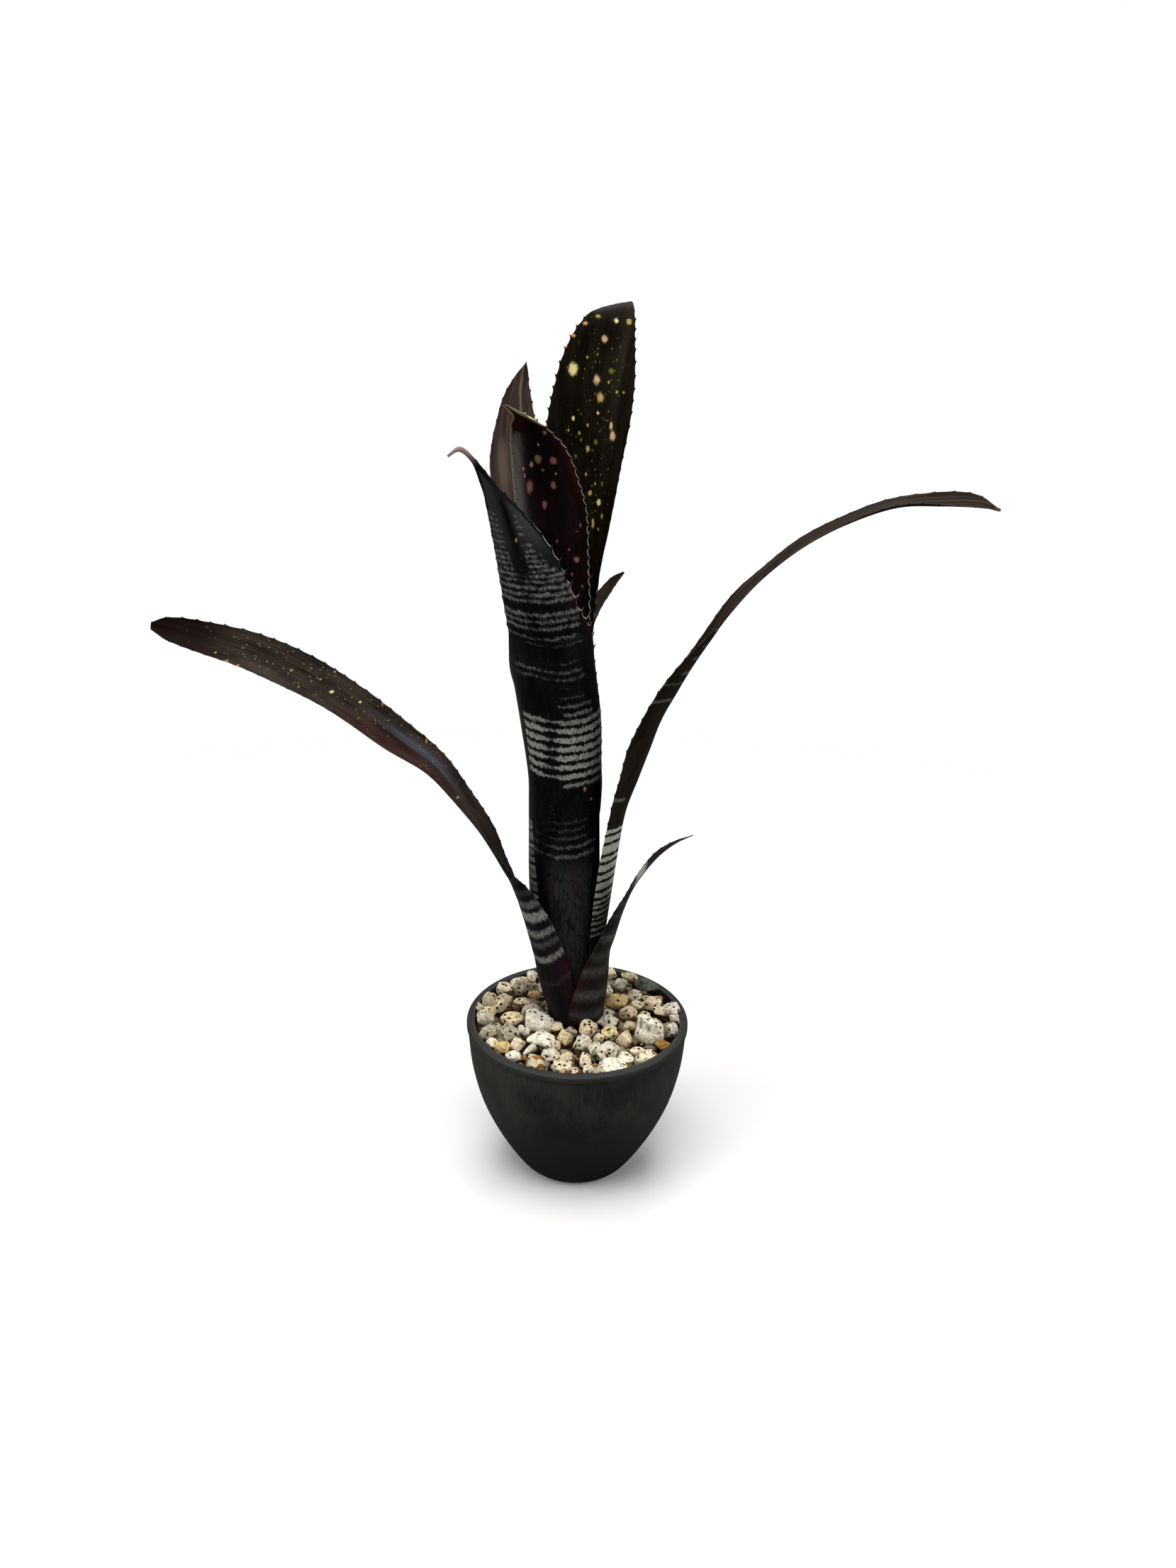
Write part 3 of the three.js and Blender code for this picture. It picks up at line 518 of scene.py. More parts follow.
def sheath_rows(leaf):
    """Margins and depth of a leaf's sheath every 11.5 mm or so: the margins lie on the tube's circle at
    that height, pushed outwards, at the leaf's direction less its reach to the left and plus its reach to
    the right; the depth is the rise of that arc over its chord."""
    rows = np.array(leaf["sheath"], float)
    count = int((rows[-1, 0] - rows[0, 0]) / SHEATH_STEP + 0.5)
    z = np.linspace(rows[0, 0], rows[-1, 0], count + 1)
    way, to_left, to_right = (np.interp(z, rows[:, 0], rows[:, k]) for k in (1, 2, 3))
    radius = along(TUBE_RADIUS, z) + leaf["layer"] * LAYER

    def level(angle):
        """Level directions from angles in degrees."""
        turn = np.radians(angle)
        return np.stack([np.cos(turn), np.sin(turn), 0 * turn], -1)

    centre = np.stack([along(TUBE_LEAN, z), 0 * z, z], -1) + leaf["push"] * level(way)
    left = centre + level(way - to_left) * radius[:, None]
    right = centre + level(way + to_right) * radius[:, None]
    return left, right, radius * (1 - np.cos(np.radians((to_left + to_right) / 2)))


def tooth_phase(length, period, seed):
    """Number of teeth passed at a distance along a margin, with a period that wanders slowly."""
    return length / period + 0.22 * np.sin(length / 13 + seed) + 0.13 * np.sin(length / 4.7 + 2 * seed)


def tooth_outline(length, period, seed):
    """Margin teeth by distance along the margin: the shift outwards as a share of a tooth's height, and 0
    to 1 for how far a point leans forwards. Each period bows in behind the last tooth, and climbs late to a
    tip that is hooked forwards."""
    phase = tooth_phase(length, period, seed)
    x = phase - np.floor(phase)
    rise = x ** 7 - 0.42 * np.sin(0.95 * np.pi * x)
    size = 0.88 + 0.14 * np.sin(3.7 * np.floor(phase) + seed)
    return rise * size, x ** 8 * size


def tooth_marks(length, period, seed):
    """Places on a margin just before and just after each tooth tip."""
    fine = np.arange(0, length[-1], 0.02)
    jump = np.nonzero(np.diff(np.floor(tooth_phase(fine, period, seed))) > 0)[0]
    return fine[jump], fine[jump + 1] + 0.03


def band_field(leaf, height, arc):
    """How far in mm a point is inside the edge of the nearest silver band, and that band's strength. A band
    is level, dips at the midrib by the leaf's vee per mm, wanders a little, and fades past its reach."""
    band_height, half, band_strength, left, right = np.array(leaf["bands"], float).T
    number = np.arange(len(half))
    middle = along(leaf["middle"], height) if "middle" in leaf else 0
    x = (arc - middle)[..., None]
    wander = (0.3 * np.sin(0.21 * x + height[..., None] / 11) + 0.13 * np.sin(0.8 * x + 2.1 * number)
              + 0.07 * np.sin(2.1 * x + 4.7 * number))
    level = height[..., None] - leaf["vee"] * np.abs(x) - leaf.get("bow", 0) * x ** 2
    inside = half - np.abs(level - band_height - wander)
    inside = inside - 1.5 * (1 - plateau(x, left - 3, left + 1, right - 1, right + 3))
    pick = inside.argmax(-1)
    deepest = np.take_along_axis(inside, pick[..., None], -1)[..., 0]
    strength = band_strength[pick]
    if "shaded_crease" in leaf:
        # The bands break off in the dark crease and are narrower to the left of the midrib, as painted shade
        # of the crease
        valley = arc - along(leaf["shaded_crease"], height)
        shaded_crease = smooth_step(3.6, 2.4, np.abs(valley + 0.6)) * smooth_step(298, 310, height)
        shaded_left = smooth_step(304, 290, height) * bell(arc - middle + 6, 3.4)
        strength = strength * (1 - shaded_crease) * (1 - 0.25 * shaded_left)
        deepest = deepest - (0.3 + 0.5 * smooth_step(246, 238, height)) * shaded_left - 1.2 * shaded_crease
    return deepest, strength


def leaf_frames(leaf):
    """Cross-sections of a leaf, each an arc between its two margins that is hollow towards the plant: the
    margins are Catmull-Rom curves through the rows, and an arc of half angle 2 atan(depth / half chord) joins
    them. Stations stand every step, and on both sides of each tooth tip."""
    low_left, low_right, low_depth = sheath_rows(leaf)
    blade = np.array(leaf["blade"], float)
    left_rows = np.vstack([low_left, blade[:, 0:3]])
    right_rows = np.vstack([low_right, blade[:, 3:6]])
    depth_rows = np.concatenate([low_depth, blade[:, 6]])[:, None]
    last = len(left_rows) - 1
    fine = np.linspace(0, last, 6000)

    def travelled(rows):
        """Distance along a margin's curve at each fine mark."""
        steps = np.diff(curve_through(rows, fine), axis=0)
        return np.concatenate([[0], np.cumsum(np.linalg.norm(steps, axis=1))])

    run_left, run_right = travelled(left_rows), travelled(right_rows)
    run = (run_left + run_right) / 2
    marks = [np.interp(np.arange(0, run[-1], leaf["step"]), run, fine), [last]]
    for side_run, seed in ((run_left, LEFT_SEED), (run_right, RIGHT_SEED)):
        for places in tooth_marks(side_run, leaf["teeth"][0], seed):
            marks.append(np.interp(places, side_run, fine))
    mark = np.unique(np.clip(np.concatenate(marks), 0, last))
    mark = mark[np.concatenate([[True], np.diff(mark) > 1e-4])]
    left, right = curve_through(left_rows, mark), curve_through(right_rows, mark)
    depth = np.maximum(0.1, curve_through(depth_rows, mark)[:, 0])
    nudge = 1e-3
    ahead, behind = np.minimum(mark + nudge, last), np.maximum(mark - nudge, 0)
    forward = unit(unit(curve_through(left_rows, ahead) - curve_through(left_rows, behind))
                   + unit(curve_through(right_rows, ahead) - curve_through(right_rows, behind)))
    chord = right - left
    half = np.linalg.norm(chord, axis=1) / 2
    across = unit(chord)
    inward = unit(np.cross(forward, across))
    angle = 2 * np.arctan(depth / half)
    return {
        "forward": forward, "across": across, "inward": inward, "angle": angle, "half": half,
        "radius": half / np.sin(angle), "keel": (left + right) / 2 - inward * depth[:, None],
        "run": np.interp(mark, fine, run), "run_left": np.interp(mark, fine, run_left),
        "run_right": np.interp(mark, fine, run_right), "height": (left[:, 2] + right[:, 2]) / 2,
    }


def toothed(leaf, f, u, edge, place, outwards, grown, scale):
    """A blade's points with its margins run out into hooked teeth, the distance to the margin's line, and the
    share of their size that the teeth have at each station. A tooth moves the points near the margin outwards
    by its rise, and leans the outermost ones forwards."""
    period, left_height, right_height, _ = leaf["teeth"]
    bare_tip = leaf.get("bare_tip", 3)
    past_tip = smooth_step(bare_tip, bare_tip + 6, f["run"][-1] - f["run"])
    room = np.clip(f["half"] / 4.5, 0, 1) * grown * past_tip
    upright = smooth_step(255, 275, f["height"]) * smooth_step(322, 304, f["height"])
    room = room * (1 - leaf.get("calm", 0) * (1 - upright))
    side = np.sign(u)[None, :]
    flare = leaf.get("flare", 0.0)
    outwards = unit(outwards * (1 - flare) + f["across"][:, None, :] * side[..., None] * flare)
    line_edge = edge
    for sign, run, seed, height in ((-1, f["run_left"], LEFT_SEED, left_height),
                                    (1, f["run_right"], RIGHT_SEED, right_height)):
        rise, lean = tooth_outline(run, period, seed)
        own_side = np.where(side == sign, 1.0, 0.0)
        reach = own_side * bell(edge, 1.1)
        size = (height * scale * room)[:, None]
        lift = size * rise[:, None]
        tip = size * lean[:, None] * reach ** 3 * 0.4
        place = place + outwards * (lift * reach)[..., None] + f["forward"][:, None, :] * tip[..., None]
        line_edge = line_edge + own_side * (lift * (1 - reach) + 0.5 * smooth_step(0.06, 0.5, lean)[:, None])
    return place, line_edge, room


def hairline(name, leaf, f, u, line_edge, grown):
    """Distance to the margin's line where the margin is toothed and lined, and UNLINED elsewhere."""
    if name == "leaf_front_banded":
        height = f["height"][:, None]
        line_edge = line_edge + 0.3 * smooth_step(316, 330, height)
        line_edge = line_edge * (1 - 0.45 * smooth_step(306, 292, height))
    lined = np.broadcast_to(grown[:, None] > 0.5, line_edge.shape)
    if "lined" in leaf:
        lined = lined & (np.sign(u)[None, :] == leaf["lined"])
    return np.where(lined, line_edge, UNLINED)


def closed_blade(outer, inner):
    """Closed mesh between the two faces of a blade, given as grids: each ring runs along the outer face and
    back along the inner one, and both ends are capped."""
    stations, side, _ = outer.shape
    columns = 2 * side
    faces = [grid_quads(stations, columns, wrap=True)]
    k = np.arange(side - 1)
    for base, turn in ((0, 1), ((stations - 1) * columns, -1)):
        cap = np.stack([base + k, base + columns - 1 - k, base + columns - 2 - k, base + k + 1], -1)
        faces.append(cap[:, ::turn])
    return np.concatenate([outer, inner[:, ::-1]], axis=1), faces


def leaf_surface(name, settings):
    """Closed blade of a leaf. A point at share u from -1 to 1 across is keel + across R sin(a u) +
    inward R (1 - cos(a u)); columns crowd towards the margins. The two faces stand off it by a thickness that
    is greatest at the midrib, with lengthwise ribs, and the margins run out into hooked teeth."""
    leaf = LEAVES[name]
    f = leaf_frames(leaf)
    share = 1 - np.linspace(1, 0, leaf["columns"] + 1) ** 1.5
    u = np.concatenate([-share[::-1], share[1:]])
    a = f["angle"][:, None] * u[None, :]
    radius = f["radius"][:, None]
    arc = radius * a
    edge = radius * f["angle"][:, None] * (1 - np.abs(u))[None, :]
    across, inward = f["across"][:, None, :], f["inward"][:, None, :]
    sine, cosine = np.sin(a)[..., None], np.cos(a)[..., None]
    place = f["keel"][:, None, :] + radius[..., None] * (across * sine + inward * (1 - cosine))
    normal = inward * cosine - across * sine
    outwards = (across * cosine + inward * sine) * np.sign(u)[None, :, None]

    # The teeth start at a height on the leaf, and at the latest half way along it
    teeth_from = leaf["teeth"][3]
    grown = smooth_step(teeth_from - 6, teeth_from + 6, f["height"])
    grown = np.maximum(grown, smooth_step(0.45, 0.5, f["run"] / f["run"][-1]))
    place, line_edge, room = toothed(leaf, f, u, edge, place, outwards, grown, settings.tooth_scale)

    # Lengthwise ribs, and a slow waving of the margins
    run = f["run"][:, None]
    ribs = 0.05 * np.sin(arc * 2.1 + 0.4 * np.sin(run / 17)) + 0.04 * np.sin(arc * 1.27 + 2)
    waving = 0.35 * np.sin(run / 9 + np.sign(u)[None, :] * 1.3) * np.exp(-(edge / 3.2)) * room[:, None]
    place = place + normal * (ribs + waving + shape_dressing(name, f, arc, edge))[..., None]

    thin, thick = 0.11, settings.leaf_thickness / MM / 2
    wall = (thin + (thick - thin) * smooth_step(0, 5, edge))[..., None]
    rings, faces = closed_blade(place - normal * wall, place + normal * wall)

    def both_faces(values):
        """Values of the outer face, and then the same ones back along the inner."""
        return np.concatenate([values, values[:, ::-1]], axis=1)

    height, arc_round = rings[..., 2], both_faces(arc)
    band, strength = band_field(leaf, height, arc_round)
    outer_side = np.broadcast_to(np.repeat([1.0, 0.0], len(u)), height.shape)
    line = both_faces(hairline(name, leaf, f, u, line_edge, grown))
    tips, zones = both_faces(tip_zone(name, f, arc, edge)), both_faces(paint_zone(name, f, arc, edge))
    attributes = {
        "leaf": np.stack([arc_round, np.broadcast_to(run, height.shape), outer_side], -1),
        "mark": np.stack([band, line, strength], -1),
        "zone": np.stack([height, tips, zones], -1),
    }
    return rings.reshape(-1, 3), faces, attributes


def crease_line(height):
    """Distance in mm of the brown back leaf's crease from its midrib."""
    return along([(352, -4.4), (368, -3.4), (378, -1.2), (386, 0.6)], height)


def shape_dressing(name, f, arc, edge):
    """Forms of one leaf alone, as a shift in mm towards its hollow side: creases and folds as bell curves
    across the leaf, each faded in and out by height."""
    height = f["height"][:, None]
    shift = np.zeros(arc.shape)
    if name == "leaf_back_left":
        # The crease in the upper blade, with a smooth panel beside it
        off = arc - crease_line(height)
        shift += plateau(height, 352, 362, 382, 387) * (0.5 * bell(off, 0.45) - 0.5 * bell(off + 2, 1.5))
        shift += 0.35 * bell(arc - 2, 2.2) * smooth_step(285, 320, height)
    if name == "leaf_inner_spotted":
        # The rolled margin strip on the left
        rolled = plateau(height, 285, 300, 354, 364)
        shift -= rolled * 1.9 * np.clip(1 - edge / 5.6, 0, 1) ** 1.3 * (arc > 0)
    if name == "leaf_left_arching":
        shift -= 0.4 * bell(arc, 1.1) * smooth_step(180, 215, height)
    if name == "leaf_right_arching":
        shift -= 0.3 * bell(arc, 1.0) * smooth_step(215, 260, height)
    if name == "leaf_tall_back":
        shift += 0.22 * np.sin(arc * 0.8 + 0.6) * plateau(height, 300, 340, 395, 408)
    return shift


def paint_zone(name, f, arc, edge):
    """Where a leaf takes its second colour, from 0 to 1, and its third colour, from 0 to -1: strips along a
    margin or along the midrib, faded in and out by height or by the distance from the foot. Some of these
    zones are painted sheen and highlight."""
    run = f["run"][:, None]
    height = f["height"][:, None]
    paint = np.zeros(arc.shape)
    if name == "leaf_inner_spotted":
        # The painted grey highlight on the rolled strip on the left, the dark red right side, and the red
        # corner under the tip
        reach = smooth_step(300, 322, height) * (1 - 0.8 * smooth_step(355, 364, height))
        strip = bell(edge - 2.0, 2.5) * (0.3 + 0.7 * reach)
        paint += np.clip(strip, 0, 1) * (arc > 0) * smooth_step(282, 292, height)
        paint -= bell(edge - 3.5, 3.5) * (arc < 0) * smooth_step(325, 343, height) * 0.9
        paint -= smooth_step(10, 4, edge) * (arc > 0) * smooth_step(357, 363, height) * 1.5
    if name == "leaf_left_arching":
        # The red margin at the foot and on the arch, and a painted bluish sheen beside it
        paint += 1.2 * smooth_step(9, 1, edge) * (arc > 0) * smooth_step(135, 118, height)
        paint += plateau(run, 140, 170, 200, 235) * smooth_step(-4, 1, arc)
        paint -= plateau(run, 145, 172, 182, 212) * bell(arc + 4.6, 2.3) * 0.7
    if name == "leaf_small_right":
        paint += 1.1 * smooth_step(7, 1, edge) * (arc < 0) * smooth_step(125, 110, height)
    if name == "leaf_front_banded":
        # The red right margin and foot, the grey upper blade, partly its own charcoal and partly painted
        # sheen, with its crease left dark as painted shade, and the grey foot
        margin = smooth_step(9, 2, edge) * (arc > 0)
        paint += margin * smooth_step(200, 230, height) * smooth_step(310, 288, height)
        paint += smooth_step(6, 12, arc) * smooth_step(150, 120, height)
        crease = bell(arc - along(LEAVES[name]["shaded_crease"], height), 2.4)
        paint -= smooth_step(308, 324, height) * (1 - crease) * (edge > 2)
        paint -= smooth_step(176, 160, height) * smooth_step(-10, -3, arc) * 0.9
    if name == "leaf_back_left":
        # The dark upper blade, the painted sheen of a pale panel below it, and the pale crease
        paint += smooth_step(350, 372, height)
        paint -= smooth_step(366, 345, height) * bell(arc - 6, 3.4)
        paint -= 2.6 * smooth_step(353, 362, height) * bell(arc - crease_line(height), 0.75)
    if name == "leaf_tall_back":
        # A painted grey sheen along the right side of the upper blade
        paint += bell(arc + 10.5, 2.6) * smooth_step(355, 385, height)
    return paint


# Where a leaf's tip colour starts and where it is full, in mm from the tip
TIP_REACH = {"leaf_left_arching": (46, 16), "leaf_right_arching": (3, 0.5), "leaf_front_banded": (16, 8)}
PLAIN_TIP_REACH = (9, 3)


def tip_zone(name, f, arc, edge):
    """Where a leaf takes the colour of its tip, from 0 to 1: by the distance from the tip, and on the inner
    spotted leaf in a strip that widens down from the tip and in a line along the left margin."""
    to_tip = (f["run"][-1] - f["run"])[:, None] + 0 * arc
    if name != "leaf_inner_spotted":
        return smooth_step(*TIP_REACH.get(name, PLAIN_TIP_REACH), to_tip)
    strip = smooth_step(1.3 + 0.28 * to_tip, 0.9 + 0.2 * to_tip, edge)
    strip = strip * (arc < 0) * smooth_step(17, 13, to_tip) * smooth_step(1.5, 4, to_tip)
    margin = smooth_step(0.8, 0.3, edge) * (arc > 0) * smooth_step(270, 290, f["height"])[:, None] * 0.34
    return np.maximum(strip, margin)


# Materials, node by node

class Signal:
    """A value that flows through a material's nodes, with the signs of arithmetic. Each sign adds a node."""

    def __init__(self, look, socket):
        self.look = look
        self.socket = socket

    def __add__(self, other):
        return self.look.math("ADD", self, other)

    def __sub__(self, other):
        return self.look.math("SUBTRACT", self, other)

    def __rsub__(self, other):
        return self.look.math("SUBTRACT", other, self)

    def __mul__(self, other):
        return self.look.math("MULTIPLY", self, other)

    def __truediv__(self, other):
        return self.look.math("DIVIDE", self, other)

    def at_least(self, other):
        """The greater of the two."""
        return self.look.math("MAXIMUM", self, other)

    def at_most(self, other):
        """The smaller of the two."""
        return self.look.math("MINIMUM", self, other)

    def without_sign(self):
        """The value's size."""
        return self.look.math("ABSOLUTE", self, 0.0)

    def clipped(self):
        """The result of the last sign, held between 0 and 1."""
        self.socket.node.use_clamp = True
        return self

    def step(self, low, high, start=0.0, end=1.0):
        """Goes from start at low to end at high along a cubic, and stays there."""
        node = self.look.node("MapRange", {"Value": self, "From Min": low, "From Max": high,
                                           "To Min": start, "To Max": end})
        node.interpolation_type = "SMOOTHSTEP"
        return Signal(self.look, node.outputs[0])


class Look:
    """A material put together node by node. Lengths inside it are in mm."""

    def __init__(self, name):
        self.material = bpy.data.materials.new(name)
        self.material.use_nodes = True
        self.tree = self.material.node_tree
        self.shader = self.tree.nodes["Principled BSDF"]

    def put(self, socket, value):
        """Gives a socket a constant, or links it to a signal or to another node's socket."""
        value = value.socket if isinstance(value, Signal) else value
        if isinstance(value, bpy.types.NodeSocket):
            self.tree.links.new(value, socket)
        elif isinstance(value, (tuple, list)) and len(value) == 3 and socket.type == "RGBA":
            socket.default_value = (*value, 1)
        else:
            socket.default_value = value

    def node(self, kind, inputs):
        """A new shader node with values for some of its sockets, by name or number."""
        node = self.tree.nodes.new("ShaderNode" + kind)
        for key, value in inputs.items():
            self.put(node.inputs[key], value)
        return node

    def math(self, operation, a, b):
        """One operation on two values."""
        node = self.node("Math", {0: a, 1: b})
        node.operation = operation
        return Signal(self, node.outputs[0])

    def vector(self, operation, a, b=(0, 0, 0)):
        """One operation on vectors."""
        node = self.node("VectorMath", {0: a, 1: b})
        node.operation = operation
        return Signal(self, node.outputs["Value" if operation == "LENGTH" else "Vector"])

    def parts(self, vector):
        """The three parts of a vector."""
        node = self.node("SeparateXYZ", {0: vector})
        return [Signal(self, output) for output in node.outputs]

    def blend(self, share, a, b, kind="MIX"):
        """Colour a where share is 0 and colour b where it is 1."""
        node = self.tree.nodes.new("ShaderNodeMix")
        node.data_type = "RGBA"
        node.blend_type = kind
        for number, value in ((0, share), (6, a), (7, b)):
            self.put(node.inputs[number], value)
        return Signal(self, node.outputs[2])

    def place(self):
        """Object coordinates in mm."""
        return self.vector("MULTIPLY", self.node("TexCoord", {}).outputs["Object"], (1000, 1000, 1000))

    def attribute(self, name):
        """A point attribute of the mesh."""
        node = self.node("Attribute", {})
        node.attribute_name = name
        return Signal(self, node.outputs["Vector"])

    def stretched(self, place, stretch):
        """A place times a stretch, given as three numbers or as one for all."""
        return self.vector("MULTIPLY", place, stretch if isinstance(stretch, tuple) else (stretch,) * 3)

    def noise(self, place, stretch, detail, roughness):
        """Cloudy noise from 0 to 1."""
        node = self.node("TexNoise", {"Vector": self.stretched(place, stretch), "Scale": 1.0,
                                      "Detail": detail, "Roughness": roughness})
        return Signal(self, node.outputs[0])

    def cells(self, place, stretch):
        """Distance to the nearest of some strewn points, and that point's own chance from 0 to 1."""
        node = self.node("TexVoronoi", {"Vector": self.stretched(place, stretch), "Scale": 1.0})
        return Signal(self, node.outputs["Distance"]), self.parts(node.outputs["Color"])[0]

    def cracks(self, place, stretch):
        """Distance to the nearest border between cells round strewn points."""
        node = self.node("TexVoronoi", {"Vector": self.stretched(place, stretch), "Scale": 1.0})
        node.feature = "DISTANCE_TO_EDGE"
        return Signal(self, node.outputs["Distance"])

    def relief(self, height, depth_mm, strength):
        """Fine relief that shades the surface."""
        node = self.node("Bump", {"Strength": strength, "Distance": depth_mm * MM, "Height": height})
        self.put(self.shader.inputs["Normal"], node.outputs[0])

    def finish(self, colour, roughness, specular):
        """Sets the surface's values and ends the material."""
        self.put(self.shader.inputs["Base Color"], colour)
        self.put(self.shader.inputs["Roughness"], roughness)
        self.shader.inputs["Specular IOR Level"].default_value = specular
        self.shader.inputs["IOR"].default_value = 1.45
        return self.material


def nearest_spot(look, place, spots):
    """Nearness to the closest of some oval spots, each stretched along the leaf: below 1 is inside."""
    nearest = None
    for x, y, z, wide, tall in spots:
        apart = look.vector("SUBTRACT", place, (x, y, z))
        apart = look.vector("MULTIPLY", apart, (1 / wide, 0.33 / wide, 1 / tall))
        distance = look.vector("LENGTH", apart)
        nearest = nearest.at_most(distance) if nearest else distance
    return nearest


def silver_scales(look, finish, ragged_mm, band, strength, outside, leaf, cloud, silver):
    """Silver scales in cross bands: the distance inside a band is made ragged by coarse and fine noise,
    turned into cover over a soft edge that is wider on faint bands, and worn away in flakes. Returns the
    cover, its grain and its colour."""
    rag = look.noise(leaf, (1.15, 0.5, 3.0), 5, 0.85)
    patch = look.noise(leaf, (0.5, 0.35, 3.0), 2, 0.5)
    grain = look.noise(leaf, (1.7, 1.1, 3.0), 5, 0.8)
    depth = band + (rag - 0.5) * ragged_mm + (patch - 0.5) * (0.55 * ragged_mm) - (1.0 - strength) * 0.3
    depth = depth - finish.narrow
    faint = (1.0 - strength).clipped()
    cover = (depth / ((faint * 1.1 + 1.0) * (finish.soft * ragged_mm))).step(-1, 1)
    opacity = (strength * 0.84 + 0.04) * (grain - faint * 0.07).step(0.38, 0.54, finish.worn, 1.0)
    opacity = opacity * patch.step(0.36, 0.52, 0.5 + finish.worn, 1.0)
    cover = (cover * (opacity * outside.at_least(finish.scales_inside))).clipped()
    dust = grain.step(0.55, 0.75) * (outside * finish.dust) * cloud.step(0.35, 0.65)
    colour = look.blend(rag.step(0.34, 0.6), dimmed(silver, 0.5 * finish.silver_gain),
                        dimmed(silver, 1.12 * finish.silver_gain))
    return cover.at_least(dust), grain, colour


def fleck_cover(look, flecks, leaf, arc, run):
    """Small flecks strewn over a stretch of a leaf."""
    distance, chance = look.cells(leaf, flecks["stretch"])
    first, last = flecks["run"]
    off = (arc - flecks["middle"]).without_sign()
    field = off.step(flecks["reach"], 0.6 * flecks["reach"])
    field = field * run.step(first, first + 15) * run.step(last, last - 15)
    return distance.step(0.24, 0.1) * chance.step(flecks["likely"], flecks["likely"] + 0.2) * field


def leaf_look(leaf_name, settings):
    """Finish of one leaf: lengthwise veins in colour, roughness and relief; silver scale bands with ragged
    edges on the outside; spots and flecks; a pale line along the margin; other colours in its zones, some of
    them painted sheen and highlight."""
    finish = SimpleNamespace(**{**PLAIN_LEAF, **LEAF_FINISH[leaf_name]})
    look = Look(finish.slot + "_skin")
    leaf = look.attribute("leaf")
    arc, run, outside = look.parts(leaf)
    band, edge, strength = look.parts(look.attribute("mark"))
    height, tip, paint = look.parts(look.attribute("zone"))
    place = look.place()
    inside = 1.0 - outside

    veins = look.noise(leaf, (2.6, 0.035, 9.0), 4, 0.6)
    fine = look.noise(leaf, (9.0, 0.5, 9.0), 3, 0.6)
    cloud = look.noise(leaf, (0.18, 0.045, 5.0), 2, 0.5)
    mottle = veins * 0.55 + cloud * 0.45
    share = mottle.step(0.38, 0.62)
    inner = look.blend(share, finish.inner_dark, finish.inner)
    outer = look.blend(share, finish.outer_dark, finish.outer)
    if finish.second:
        streaky = veins.step(0.25, 0.6, 0.55, 1.0)
        second = paint.at_least(0.0) * streaky
        third = (paint * -1.0).at_least(0.0) * streaky
        third_colour = finish.third or finish.second
        inner = look.blend(second * finish.second_share, inner, finish.second)
        inner = look.blend(third * 0.8, inner, third_colour)
        outer = look.blend(second * finish.second_outer, outer, finish.second)
        outer = look.blend(third * finish.third_outer, outer, third_colour)
    colour = look.blend(outside, inner, outer)
    base = height.step(*finish.base_heights) * mottle.step(0.4, 0.6, 0.1, 1.0)
    colour = look.blend(base, colour, finish.base)

    if finish.streak:
        streak = look.noise(leaf, (1.5, 0.014, 9.0), 4, 0.7).step(0.5, 0.62) * height.step(270, 300, 0.0, 0.7)
        colour = look.blend(streak * inside, colour, finish.streak)
    if finish.crackle:
        low, high = finish.crackle
        lines = (look.cracks(leaf, (0.46, 0.13, 1.0)) + fine * 0.1).step(0.13, 0.07)
        colour = look.blend(lines * height.step(high, low, 0.0, 0.75), colour, (0.001, 0.001, 0.001))
        blotch = cloud.step(0.52, 0.68) * height.step(high, low, 0.0, 0.5)
        colour = look.blend(blotch, colour, finish.base)

    ragged_mm = LEAVES[leaf_name]["rag"]
    scales, grain, silver = silver_scales(look, finish, ragged_mm, band, strength, outside, leaf, cloud,
                                          settings.silver)
    colour = look.blend(scales, colour, silver)

    wobble = (look.noise(place, (0.9, 0.9, 0.6), 2, 0.5) - 0.5) * 0.8
    for tint, spots in spot_rows(leaf_name).items():
        nearness = nearest_spot(look, place, spots) + wobble
        colour = look.blend(nearness.step(1.6, 0.85) * 0.35, colour, finish.halo)
        speckled = look.blend(fine.step(0.3, 0.8), SPOT_TINTS[tint], dimmed(SPOT_TINTS[tint], 0.55))
        colour = look.blend(nearness.step(1.05, 0.45) * finish.spot_share, colour, speckled)
    if finish.flecks:
        cover = fleck_cover(look, finish.flecks, leaf, arc, run)
        colour = look.blend(cover * inside, colour, finish.flecks["colour"])

    # Pale hairline on the margin, and the tip
    line = edge.step(finish.edge_reach, 0.1) * veins.step(0.38, 0.55, 0.3, 1.0)
    colour = look.blend(line * finish.edge_share, colour, finish.edge)
    colour = look.blend(tip * finish.tip_share, colour, finish.tip)

    gloss = (veins * 0.16 + (finish.roughness - 0.08) + scales * 0.4).clipped()
    look.relief(veins * 0.8 + fine * 0.2 + scales * (grain * 0.6), finish.relief, 0.8)
    return look.finish(colour, gloss, finish.specular)


